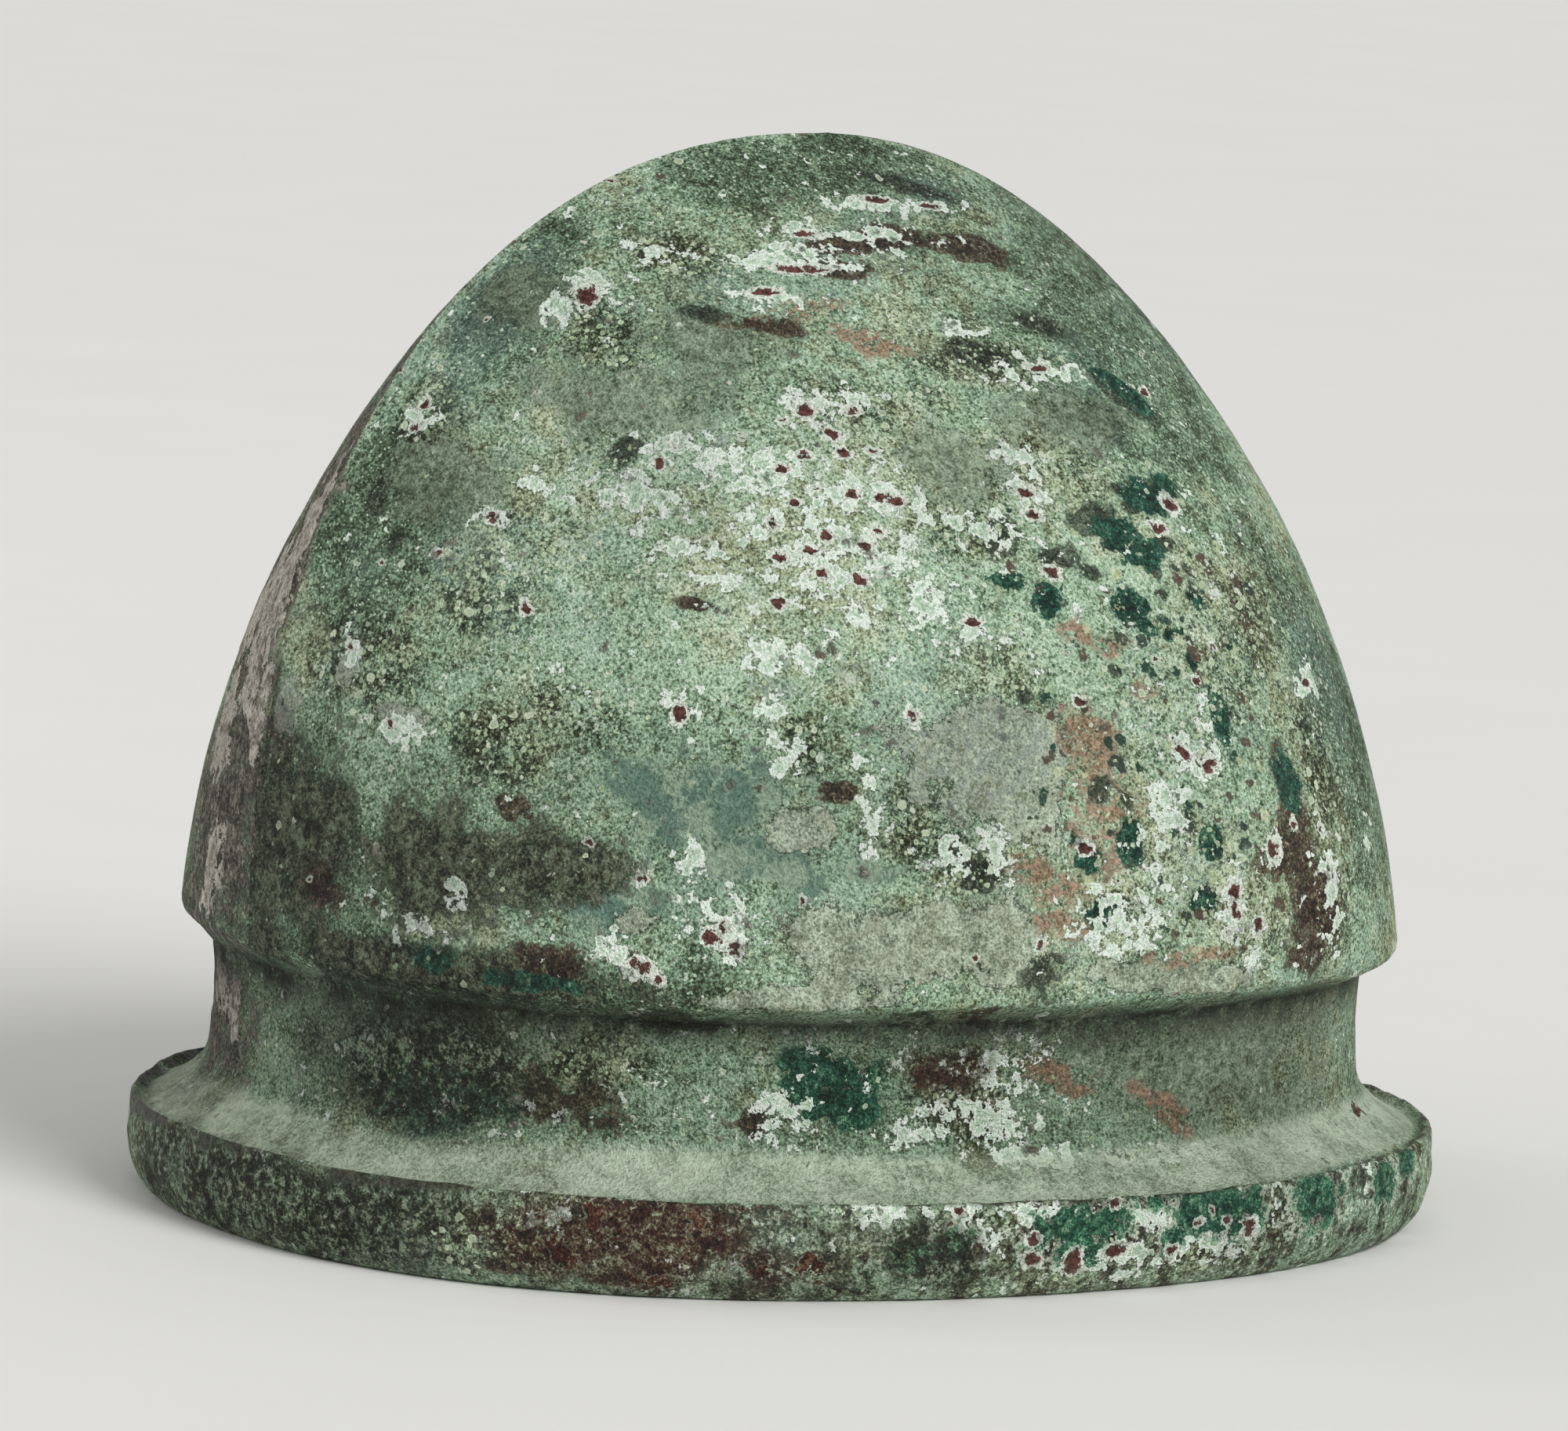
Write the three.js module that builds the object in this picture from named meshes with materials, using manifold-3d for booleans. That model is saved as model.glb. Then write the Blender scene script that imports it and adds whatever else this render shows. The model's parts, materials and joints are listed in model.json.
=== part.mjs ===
// Keeled bronze helmet of the Negau type, in its excavated state.
// One sheet of bronze makes the bowl: crown with a ridge, undercut neck and hollow brim.
// A ring closes the brim from below and once held the sewn lining, solder fixes it,
// and a riveted bridge on each side held the chin strap.
// Lengths are in millimetres. +Z is up, the front faces -Y, the rim stands on z = 0.
import * as THREE from 'three';
import { mergeVertices } from 'three/addons/utils/BufferGeometryUtils.js';
import Module from 'manifold-3d';

const wasm = await Module();
wasm.setup();

// Overall plan of the brim
const helmetLength = 245.5;
const helmetWidth = 215.5;
const frontOverBack = 2;

// How far the shoulder of the crown lies inside the brim
const shoulderInFront = 7.7;
const shoulderInBack = 8.2;
const shoulderInSide = 9.2;

// How far the neck lies inside the shoulder
const neckInEnds = 5.6;
const neckInSide = 6.6;
const neckWaist = 0.5;

// Heights, stacked from the ground up
const brimHeight = 18.4;
const neckFilletHeight = 10.1;
const neckHeight = 19.7;
const underShoulderHeight = 5.2;
const crownHeight = 146.1;

// Sheet thicknesses
const crownWall = 1.3;
const ridgeWall = 1.8;
const brimWall = 2;
const ringWall = 1;

// Shoulder and brim edge
const shoulderRadius = 3;
const lipRise = 1.5;
const lipBand = 3.6;
const lipTaper = 0.7;
const rimTurnIn = 6.2;
const rimBellyHeight = 10.5;
const footBand = 2.6;
const footWall = 2;
const seatWidth = 4.2;

// Lining ring
const collarHeight = 34;
const collarGap = 3;
const collarBend = 1;
const stitchHoleDiameter = 2.5;
const stitchHoleEdge = 4.5;
const stitchHoles = 60;

// Solder bead
const beadWidth = 3;
const beadHeight = 3.4;

// Chin strap bridges and their rivets
const strapWidth = 16;
const strapRoom = 3;
const bridgeRamp = 2.5;
const bridgeFoot = 8;
const bridgeWidth = 12;
const bridgeWall = 1.4;
const bridgeAboveFlange = 8;
const rivetShank = 3;
const rivetHead = 5.6;
const rivetHeadHeight = 1.3;
const rivetTail = 5;
const rivetTailHeight = 1;

// Gap between pieces that seat on each other, and how far a cut overruns
const fitGap = 0.3;
const overrun = 1;

// Shape of the ovals in plan: 2 is an ellipse, more is squarer
const shoulderPower = 2.52;
const neckPower = 2.18;
const brimPower = 2.21;

// Crown half sizes follow base * (1 - t^rise)^(1 / round), t from shoulder to apex
const crownCurves = {
  front: { rise: 2.26, round: 2.25 },
  back: { rise: 2.09, round: 1.81 },
  side: { rise: 1.9, round: 1.02 },
};

// Sharpness of the keel's corner, as a polynomial in t
const keelShares = [0.1, 0.45, 0.09];

// Neck from its top to its foot: share of the waist drawn in, share of the height
const neckShares = [[-1, 1], [0, 0.92], [1, 0.5], [0, 0]];

// Brim top from the neck's foot to the dish: share of the way out, share of the drop
const brimTopShares = [[0.03, 0.17], [0.1, 0.34], [0.2, 0.47], [0.36, 0.62], [0.56, 0.77], [0.78, 0.9], [1, 1]];

// Brim lip from the dish to the outer wall: share of the band, share of the rise
const lipShares = [[0.28, 0.55], [0.55, 1], [0.8, 0.45]];

// Inner corner over the neck, raised by this share of the wall so that the bevel keeps its sheet
const underShoulderShare = 0.7;

// Solder bead's section: share of the width in from the wall, share of the height
const beadShares = [[0.17, 1], [0, 0.83], [0, 0], [1, 0], [0.5, 0.33]];

// Rivet head from its rim to its top: share of the radius, share of the height
const rivetHeadShares = [[1, 0], [0.8, 0.6], [0.4, 0.9], [0, 1]];

// Angle that the crown's edge turns through under the shoulder
const shoulderTurn = Math.PI / 3;

// Mesh steps
const planSteps = 72;
const crownSteps = 18;
const innerCrownSteps = 10;
const shoulderSteps = 3;
const rimSteps = 5;
const channelSteps = 3;
const holeSides = 8;
const rivetSides = 16;
const bridgeSteps = 16;
const arcSamples = 720;

// Derived heights
const dishZ = brimHeight - lipRise;
const neckFootZ = brimHeight + neckFilletHeight;
const neckTopZ = neckFootZ + neckHeight;
const shoulderZ = neckTopZ + underShoulderHeight;
const flangeZ = footWall + fitGap;
const flangeTopZ = flangeZ + ringWall;
const collarTopZ = flangeZ + collarHeight;
const stitchZ = collarTopZ - stitchHoleEdge;
const bridgeZ = flangeTopZ + bridgeAboveFlange;
const rivetZ = bridgeZ + bridgeWidth / 2;

// Derived plans. The widest section lies half of frontOverBack behind the middle.
const widestY = frontOverBack / 2;
const brimPlan = {
  front: (helmetLength + frontOverBack) / 2,
  back: (helmetLength - frontOverBack) / 2,
  side: helmetWidth / 2,
  power: brimPower,
};
const shoulderPlan = {
  front: brimPlan.front - shoulderInFront,
  back: brimPlan.back - shoulderInBack,
  side: brimPlan.side - shoulderInSide,
  power: shoulderPower,
};
const neckPlan = {
  front: shoulderPlan.front - neckInEnds,
  back: shoulderPlan.back - neckInEnds,
  side: shoulderPlan.side - neckInSide,
  power: neckPower,
};
const overhang = brimPlan.side - neckPlan.side;
const collarOuterPlan = inset(neckPlan, neckWaist + brimWall + collarGap);
const collarInnerPlan = inset(collarOuterPlan, ringWall);

function inset(plan, by) {
  return { front: plan.front - by, back: plan.back - by, side: plan.side - by, power: plan.power };
}

function blend(from, to, share) {
  const mix = (a, b) => a + (b - a) * share;
  return {
    front: mix(from.front, to.front),
    back: mix(from.back, to.back),
    side: mix(from.side, to.side),
    power: mix(from.power, to.power),
  };
}

// A point of an oval: angle 0 is the front, a quarter turn is the +X side.
function planPoint(plan, angle, keel = 0) {
  const along = Math.cos(angle);
  const halfLength = along > 0 ? plan.front : plan.back;
  const bulge = Math.max(1 - (1 - keel * keel) * Math.abs(along) ** plan.power, 0) ** (1 / plan.power);
  const corner = keel ** (2 / plan.power);
  const across = Math.sign(Math.sin(angle)) * (bulge - corner) / (1 - corner);
  return new THREE.Vector2(plan.side * across, widestY - halfLength * along);
}

function ring(plan, z, keel = 0) {
  const points = [];
  for (let i = 0; i < planSteps; i += 1) {
    const flat = planPoint(plan, 2 * Math.PI * i / planSteps, keel);
    points.push(new THREE.Vector3(flat.x, flat.y, z));
  }
  return points;
}

// Joins rings into one closed skin. Rings run down the outside and up the inside.
// A ring of one point is a pole. With wrap, the last ring joins the first.
function loft(rings, wrap = false) {
  const positions = [];
  const face = (a, b, c) => positions.push(...a.toArray(), ...b.toArray(), ...c.toArray());
  const count = wrap ? rings.length : rings.length - 1;
  for (let i = 0; i < count; i += 1) {
    const upper = rings[i];
    const lower = rings[(i + 1) % rings.length];
    for (let j = 0; j < planSteps; j += 1) {
      const a = upper[j % upper.length];
      const b = upper[(j + 1) % upper.length];
      const c = lower[j % lower.length];
      const d = lower[(j + 1) % lower.length];
      if (upper.length > 1) face(a, c, b);
      if (lower.length > 1) face(b, c, d);
    }
  }
  const geometry = new THREE.BufferGeometry();
  geometry.setAttribute('position', new THREE.Float32BufferAttribute(positions, 3));
  return weld(geometry);
}

function weld(geometry) {
  geometry.deleteAttribute('normal');
  geometry.deleteAttribute('uv');
  return mergeVertices(geometry);
}

function toSolid(geometry) {
  const welded = weld(geometry);
  const vertProperties = new Float32Array(welded.attributes.position.array);
  const triVerts = new Uint32Array(welded.index.array);
  return new wasm.Manifold(new wasm.Mesh({ numProp: 3, vertProperties, triVerts }));
}

function toGeometry(solid) {
  const mesh = solid.getMesh();
  const geometry = new THREE.BufferGeometry();
  geometry.setAttribute('position', new THREE.BufferAttribute(mesh.vertProperties, 3));
  geometry.setIndex(new THREE.BufferAttribute(mesh.triVerts, 1));
  return geometry;
}

function subtractAll(geometry, cutters) {
  return toGeometry(cutters.reduce((solid, cutter) => solid.subtract(toSolid(cutter)), toSolid(geometry)));
}

// A ring of the neck or brim, by its distance out from the neck at the helmet's side.
function lowerRing({ out, z }) {
  return ring(blend(neckPlan, brimPlan, out / overhang), z);
}

// Moves a path of the lower profile through the sheet, to its inner side.
function throughSheet(path, wall) {
  return path.map((point, i) => {
    const before = path[Math.max(i - 1, 0)];
    const after = path[Math.min(i + 1, path.length - 1)];
    const run = new THREE.Vector2(after.out - before.out, after.z - before.z).normalize();
    return { out: point.out + run.y * wall, z: point.z - run.x * wall };
  });
}

// Rings of the crown from its apex down to the shoulder.
function crownRings(basePlan, baseZ, height, steps) {
  const shrink = (curve, t) => (1 - t ** curve.rise) ** (1 / curve.round);
  const rings = [[new THREE.Vector3(0, widestY, baseZ + height)]];
  for (let i = steps - 1; i >= 0; i -= 1) {
    const t = Math.sin(Math.PI / 2 * i / steps);
    const plan = {
      front: basePlan.front * shrink(crownCurves.front, t),
      back: basePlan.back * shrink(crownCurves.back, t),
      side: basePlan.side * shrink(crownCurves.side, t),
      power: basePlan.power,
    };
    const keel = keelShares[0] + keelShares[1] * t + keelShares[2] * t * t;
    rings.push(ring(plan, baseZ + height * t, keel));
  }
  return rings;
}

// The rounded corner that turns the crown in under the shoulder.
function shoulderRings(plan, z, radius) {
  const rings = [];
  for (let i = 1; i <= shoulderSteps; i += 1) {
    const turn = shoulderTurn * i / shoulderSteps;
    const cornerPlan = inset(plan, radius * (1 - Math.cos(turn)));
    rings.push(ring(cornerPlan, z - radius * Math.sin(turn), keelShares[0]));
  }
  return rings;
}

// Neck and brim top of the outside, down to the dish behind the lip.
function neckPath() {
  const path = neckShares.map(([waistShare, heightShare]) => ({
    out: -neckWaist * waistShare,
    z: neckFootZ + neckHeight * heightShare,
  }));
  for (const [outShare, dropShare] of brimTopShares) {
    path.push({
      out: (overhang - lipBand) * outShare,
      z: neckFootZ + (dishZ - neckFootZ) * dropShare,
    });
  }
  return path;
}

// Lip, outer wall and turned-in foot of the brim, down to the ground.
function rimPath() {
  const path = [];
  for (const [bandShare, riseShare] of lipShares) {
    path.push({ out: overhang - lipBand * (1 - bandShare), z: dishZ + lipRise * riseShare });
  }
  path.push({ out: overhang - lipTaper / 2, z: dishZ - lipRise / 2 });
  for (let i = 0; i <= rimSteps; i += 1) {
    const turn = Math.PI / 2 * (1 - i / rimSteps);
    path.push({
      out: overhang - rimTurnIn * (1 - Math.sin(turn)),
      z: rimBellyHeight * (1 - Math.cos(turn)),
    });
  }
  return path;
}

// Inside of the brim, from the foot's inner edge up to the underside of the lip.
function channelPath() {
  const edge = overhang - rimTurnIn - footBand;
  const wallOut = overhang - brimWall;
  const path = [
    { out: edge, z: 0 },
    { out: edge, z: footWall },
  ];
  for (let i = 0; i <= channelSteps; i += 1) {
    const turn = Math.PI / 2 * i / channelSteps;
    path.push({
      out: wallOut - (wallOut - edge - seatWidth) * (1 - Math.sin(turn)),
      z: footWall + (rimBellyHeight - footWall) * (1 - Math.cos(turn)),
    });
  }
  path.push({ out: wallOut - lipTaper, z: dishZ - brimWall });
  return path;
}

// Distance out from the neck to the wall of the hollow brim, at a height over the seat.
function channelOut(z) {
  const path = channelPath();
  const above = path.findIndex((point) => point.z > z);
  const from = path[above - 1];
  const to = path[above];
  return from.out + (to.out - from.out) * (z - from.z) / (to.z - from.z);
}

function bowl() {
  const outerNeck = neckPath();
  const innerNeck = throughSheet(outerNeck, brimWall).reverse();
  innerNeck[innerNeck.length - 1].z += brimWall * underShoulderShare;
  const innerShoulder = inset(shoulderPlan, crownWall);
  const rings = [
    ...crownRings(shoulderPlan, shoulderZ, crownHeight, crownSteps),
    ...shoulderRings(shoulderPlan, shoulderZ, shoulderRadius),
    ...outerNeck.map(lowerRing),
    ...rimPath().map(lowerRing),
    ...channelPath().map(lowerRing),
    ...innerNeck.map(lowerRing),
    ...shoulderRings(innerShoulder, shoulderZ, shoulderRadius - crownWall).reverse(),
    ...crownRings(innerShoulder, shoulderZ, crownHeight - ridgeWall, innerCrownSteps).reverse(),
  ];
  return loft(rings);
}

// Arc lengths along an oval, so that pieces and holes can be placed by distance.
function arcTable(plan) {
  const table = [{ angle: 0, length: 0 }];
  let last = planPoint(plan, 0);
  for (let i = 1; i <= arcSamples; i += 1) {
    const angle = 2 * Math.PI * i / arcSamples;
    const point = planPoint(plan, angle);
    table.push({ angle, length: table[i - 1].length + point.distanceTo(last) });
    last = point;
  }
  return table;
}

// Angle on an oval at a distance along it from the front.
function angleAt(table, length) {
  const after = table.findIndex((entry) => entry.length >= length);
  if (after < 1) return 0;
  const from = table[after - 1];
  const to = table[after];
  return from.angle + (to.angle - from.angle) * (length - from.length) / (to.length - from.length);
}

// Point and outward direction of an oval at an angle.
function planFrame(plan, angle) {
  const step = 2 * Math.PI / arcSamples;
  const along = planPoint(plan, angle + step).sub(planPoint(plan, angle - step)).normalize();
  return { point: planPoint(plan, angle), outward: new THREE.Vector2(along.y, -along.x) };
}

// Places a shape whose axis is Y so that its axis points out of the oval, at a height.
function turnOut(geometry, { point, outward }, z) {
  const axis = new THREE.Vector3(outward.x, outward.y, 0);
  const turn = new THREE.Quaternion().setFromUnitVectors(new THREE.Vector3(0, 1, 0), axis);
  return geometry.applyQuaternion(turn).translate(point.x, point.y, z);
}

// A cutter that passes through the collar and whatever is riveted on it.
function collarCutter(diameter, sideCount, frame, z) {
  const depth = 2 * (ringWall + bridgeWall + fitGap + overrun);
  const cutter = new THREE.CylinderGeometry(diameter / 2, diameter / 2, depth, sideCount);
  return turnOut(cutter, frame, z);
}

function stitchCutters() {
  const table = arcTable(collarInnerPlan);
  const total = table[table.length - 1].length;
  const cutters = [];
  for (let i = 0; i < stitchHoles; i += 1) {
    const angle = angleAt(table, total * (i + 1 / 2) / stitchHoles);
    cutters.push(collarCutter(stitchHoleDiameter, holeSides, planFrame(collarInnerPlan, angle), stitchZ));
  }
  return cutters;
}

// Frames on the collar's inner face at distances from the middle of the +X side.
function sideFrame(distance) {
  const table = arcTable(collarInnerPlan);
  const middle = table.find((entry) => entry.angle >= Math.PI / 2).length;
  return planFrame(collarInnerPlan, angleAt(table, middle + distance));
}

const bridgeHalfSpan = strapWidth / 2;
const bridgeHalfLength = bridgeHalfSpan + bridgeRamp + bridgeFoot;
const rivetDistance = bridgeHalfLength - bridgeFoot / 2;
const rivetPlaces = [
  { end: 'front', distance: -rivetDistance },
  { end: 'back', distance: rivetDistance },
];
const sides = [
  { side: 'right', turn: 0 },
  { side: 'left', turn: 1 },
];

// Mirrors a piece of the +X side to the -X side, keeping its faces pointing out.
function onSide(geometry, side) {
  if (side.turn === 0) return geometry;
  const flipped = toSolid(geometry).mirror([1, 0, 0]);
  return toGeometry(flipped);
}

function rivetCutters() {
  const diameter = rivetShank + 2 * fitGap;
  return rivetPlaces.map(({ distance }) => collarCutter(diameter, rivetSides, sideFrame(distance), rivetZ));
}

function liningRing() {
  const flangeOut = channelOut(flangeZ) - fitGap;
  const seatPlan = blend(neckPlan, brimPlan, flangeOut / overhang);
  const rings = [
    ring(collarOuterPlan, collarTopZ),
    ring(collarOuterPlan, flangeTopZ),
    ring(seatPlan, flangeTopZ),
    ring(seatPlan, flangeZ),
    ring(inset(collarInnerPlan, -collarBend), flangeZ),
    ring(collarInnerPlan, flangeZ + collarBend),
    ring(collarInnerPlan, collarTopZ),
  ];
  const holes = rivetCutters();
  const mirrored = holes.map((hole) => onSide(hole, sides[1]));
  return subtractAll(loft(rings, true), [...stitchCutters(), ...holes, ...mirrored]);
}

// The bead lies in the brim's corner, over the outer edge of the flange.
function ringSolder() {
  const path = beadShares.map(([widthShare, heightShare]) => {
    const z = flangeTopZ + fitGap + beadHeight * heightShare;
    return { out: channelOut(z) - fitGap - beadWidth * widthShare, z };
  });
  return loft(path.map(lowerRing), true);
}

// A strip that follows the collar, with its middle lifted to pass the strap.
function strapBridge(side) {
  const wallSide = [];
  const headSide = [];
  for (let i = 0; i <= bridgeSteps; i += 1) {
    const distance = bridgeHalfLength * (2 * i / bridgeSteps - 1);
    const { point, outward } = sideFrame(distance);
    const climb = (bridgeHalfSpan + bridgeRamp - Math.abs(distance)) / bridgeRamp;
    const lift = fitGap + (strapRoom - fitGap) * THREE.MathUtils.clamp(climb, 0, 1);
    wallSide.push(point.clone().addScaledVector(outward, -lift));
    headSide.push(point.clone().addScaledVector(outward, -lift - bridgeWall));
  }
  const outline = new THREE.Shape([...wallSide, ...headSide.reverse()]);
  const strip = new THREE.ExtrudeGeometry(outline, { depth: bridgeWidth, bevelEnabled: false });
  strip.translate(0, 0, bridgeZ);
  return onSide(subtractAll(strip, rivetCutters()), side);
}

// Domed head on the strap side, shank through strip and collar, hammered tail behind.
function strapRivet(side, place) {
  const tailFace = ringWall + fitGap;
  const headFace = -(fitGap + bridgeWall + fitGap);
  const profile = [
    [0, tailFace + rivetTailHeight],
    [rivetTail / 2, tailFace + rivetTailHeight],
    [rivetTail / 2, tailFace],
    [rivetShank / 2, tailFace],
    [rivetShank / 2, headFace],
  ];
  for (const [radiusShare, heightShare] of rivetHeadShares) {
    profile.push([rivetHead / 2 * radiusShare, headFace - rivetHeadHeight * heightShare]);
  }
  const points = profile.map(([radius, along]) => new THREE.Vector2(radius, along));
  const rivet = new THREE.LatheGeometry(points.reverse(), rivetSides);
  const placed = turnOut(rivet, sideFrame(place.distance), rivetZ);
  return onSide(weld(placed), side);
}

// Colours of the metal as found
const patina = new THREE.MeshStandardMaterial({ color: 0x6f8c78, roughness: 0.85, metalness: 0.1 });
const innerPatina = new THREE.MeshStandardMaterial({ color: 0x5b6f5d, roughness: 0.8, metalness: 0.2 });
const solderGrey = new THREE.MeshStandardMaterial({ color: 0x9a9a92, roughness: 0.7, metalness: 0.3 });
const fittingBronze = new THREE.MeshStandardMaterial({ color: 0x6b5a41, roughness: 0.6, metalness: 0.5 });

const helmet = new THREE.Group();

function addPiece(name, geometry, material) {
  const mesh = new THREE.Mesh(geometry, material);
  mesh.name = name;
  helmet.add(mesh);
}

addPiece('bowl', bowl(), patina);
addPiece('lining_ring', liningRing(), innerPatina);
addPiece('ring_solder', ringSolder(), solderGrey);
for (const side of sides) {
  addPiece(`strap_bridge_${side.side}`, strapBridge(side), fittingBronze);
  for (const place of rivetPlaces) {
    addPiece(`strap_rivet_${side.side}_${place.end}`, strapRivet(side, place), fittingBronze);
  }
}

export default helmet;
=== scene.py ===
"""Looks of the negau helmet: an excavated bronze helmet with a layered green patina."""

import functools
import itertools
import json
import math

import bmesh
import bpy
import numpy as np
from mathutils import Matrix, Vector

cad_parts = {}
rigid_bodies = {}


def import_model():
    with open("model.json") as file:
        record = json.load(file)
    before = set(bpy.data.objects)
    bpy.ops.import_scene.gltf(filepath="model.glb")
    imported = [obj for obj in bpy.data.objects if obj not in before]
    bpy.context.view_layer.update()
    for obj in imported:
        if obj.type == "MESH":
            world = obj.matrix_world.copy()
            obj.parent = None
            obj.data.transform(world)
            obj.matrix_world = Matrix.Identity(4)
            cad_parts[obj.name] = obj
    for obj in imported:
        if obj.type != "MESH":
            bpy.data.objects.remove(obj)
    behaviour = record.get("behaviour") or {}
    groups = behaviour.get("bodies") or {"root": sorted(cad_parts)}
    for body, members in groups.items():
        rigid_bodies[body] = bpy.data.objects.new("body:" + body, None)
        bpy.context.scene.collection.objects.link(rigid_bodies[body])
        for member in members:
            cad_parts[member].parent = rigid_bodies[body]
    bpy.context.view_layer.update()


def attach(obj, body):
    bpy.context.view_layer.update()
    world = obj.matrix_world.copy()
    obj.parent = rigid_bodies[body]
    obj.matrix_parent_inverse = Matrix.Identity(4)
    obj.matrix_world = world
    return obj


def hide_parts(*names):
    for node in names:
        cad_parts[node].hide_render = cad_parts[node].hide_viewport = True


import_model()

# Sizes of the helmet in millimetres, as in the CAD part. A plan is front, back, side and power.
MM = 0.001
WIDEST_Y = 1.0
BRIM = (123.75, 121.75, 107.75, 2.21)
SHOULDER = (116.05, 113.55, 98.55, 2.52)
NECK = (110.45, 107.95, 91.95, 2.18)
OVERHANG = 15.8
DISH_Z, NECK_FOOT_Z, SHOULDER_Z, APEX_Z = 16.9, 28.5, 53.4, 199.5
NECK_HEIGHT, NECK_WAIST = 19.7, 0.5
SHOULDER_RADIUS, SHOULDER_TURN, UNDER_SHOULDER_SHARE = 3.0, math.pi / 3, 0.7
LIP_BAND, LIP_RISE, LIP_TAPER = 3.6, 1.5, 0.7
RIM_TURN_IN, RIM_BELLY = 6.2, 10.5
FOOT_BAND, FOOT_WALL, SEAT_WIDTH = 2.6, 2.0, 4.2
CROWN_WALL, RIDGE_WALL, BRIM_WALL = 1.3, 1.8, 2.0
COLLAR_GAP, COLLAR_WALL, COLLAR_BEND = 5.5, 1.0, 1.0
FLANGE_Z, FLANGE_TOP_Z, COLLAR_TOP_Z = 2.3, 3.3, 36.3
STITCH_Z, STITCH_HOLES, STITCH_RADIUS, STITCH_WANDER = 31.8, 60, 1.25, 0.35
SEAT_OUT, FIT_GAP, CUT_REACH = 11.24, 0.3, 6.0
BEAD_WIDTH, BEAD_HEIGHT, BEAD_Z = 3.0, 3.4, 3.6
BRIDGE_Z, BRIDGE_WIDTH, BRIDGE_WALL, BRIDGE_ROOM = 11.3, 12.0, 1.4, 3.0
BRIDGE_HALF_SPAN, BRIDGE_RAMP, BRIDGE_FOOT = 8.0, 2.5, 8.0
RIVET_Z, RIVET_SHANK, RIVET_HEAD, RIVET_HEAD_HEIGHT = 17.3, 3.0, 5.6, 1.3
RIVET_TAIL, RIVET_TAIL_HEIGHT = 5.0, 1.0
RIVET_TAIL_SHARES = [(0, 1), (0.6, 1), (0.93, 0.8), (1, 0.3), (0.97, 0)]
HEAD_FOOT_SHARE, DOME_FOOT_SHARE, RIVET_EVEN_SHARE, RIVET_WOBBLE = 0.97, 0.12, 0.95, 0.025
NECK_SHARES = [(-1, 1), (0, 0.92), (1, 0.5), (0, 0)]
BRIM_TOP_SHARES = [(0.03, 0.17), (0.1, 0.34), (0.2, 0.47), (0.36, 0.62), (0.56, 0.77), (0.78, 0.9), (1, 1)]
LIP_SHARES = [(0.28, 0.55), (0.55, 1), (0.8, 0.45)]
BEAD_SHARES = [
    (0.17, 1), (0.08, 0.92), (0, 0.83), (0, 0.4), (0, 0), (0.34, 0), (0.67, 0), (1, 0), (0.86, 0.1),
    (0.68, 0.2), (0.5, 0.33), (0.36, 0.55), (0.26, 0.78),
]
BEAD_CORNER, BEAD_GAP = 4, 0.35
WALL_BULGE = ((0, 0.3, 0.83, 1), (0, 0.62, 1.25, 1.35))

# How the crown narrows upwards at the front, the back and the side, and how its ridge sharpens
CROWN_POWERS = ((2.26, 2.25), (2.09, 1.81), (1.9, 1.02))
KEEL_SHARES = (0.1, 0.45, 0.09)

# How finely the surfaces are divided
COLUMNS = 640
ANGLES = np.arange(COLUMNS) * 2 * math.pi / COLUMNS
CROWN_ROWS, SHOULDER_ROWS, NECK_ROWS, RIM_ROWS, CHANNEL_ROWS = 168, 6, 52, 32, 14
INSIDE_ROWS, UNDER_ROWS = 36, 3
RIM_STEPS, CHANNEL_STEPS, CURVE_STEPS = 12, 6, 24
FINE_COUNT = 7200
FINE_ANGLES = np.arange(FINE_COUNT) * 2 * math.pi / FINE_COUNT
SMALL_TURN = 0.004
HOLE_SIDES, STITCH_SIDES, RIVET_SIDES = 24, 20, 32
BRIDGE_COLUMNS, BRIDGE_ROWS, DOME_RINGS = 75, 8, 8

# The map for the baked texture: its margins, the strips' tops and heights, the heights of the fans
# that close a mesh, and the shares that the outside and the inside take
MAP_EDGE, MAP_WIDTH, MAP_STRIP_TOP, MAP_STRIP_HEIGHT = 0.002, 0.996, 0.98, 0.95
MAP_FIRST_FAN, MAP_LAST_FAN = (0.99, 0.98, 0.98), (0.02, 0.03, 0.03)
MAP_OUTSIDE, MAP_INSIDE = 0.84, 0.85

# Relief in millimetres. Waves are given as their height, their length and the seed of their field
BROAD_WAVES = ((0.4, 52, 1), (0.2, 23, 2), (0.08, 11, 3), (0.05, 4.5, 4), (0.04, 2.6, 5))
ROUGH_WAVES, ROUGH_SINK = ((0.16, 3.4, 6), (0.12, 2.1, 7)), 0.1
BRIM_WAVES, BRIM_SINK = ((0.27, 6.5, 12), (0.18, 3, 13)), 0.2
CREASE_WAVES, CREASE_SINK = ((0.24, 4.5, 15), (0.18, 2.4, 16)), 0.1
INSIDE_WAVES = ((0.25, 40, 1), (0.06, 7, 19), (0.05, 3, 20))
CRUST_RISE, GRAIN_RISE, FLAKE_RISE, SCALE_RISE, SPOT_RIM_RISE = 0.14, 0.08, 0.2, 0.22, 0.12
SPOT_SINK, EMERALD_SINK, WHOLE_SINK = 0.45, 0.2, 0.25
COLLAR_WAVES, COLLAR_SINK = ((0.12, 7, 31), (0.12, 19, 32)), 0.24
DENT_WAVES = ((0.1, 26, 33), (0.05, 6, 34))
BEAD_WAVES, BEAD_SIZE = ((0.07, 9, 51), (0.05, 3.5, 52)), 0.86
RING_ROUNDING, BRIDGE_ROUNDING = 0.22, 0.3


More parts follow.
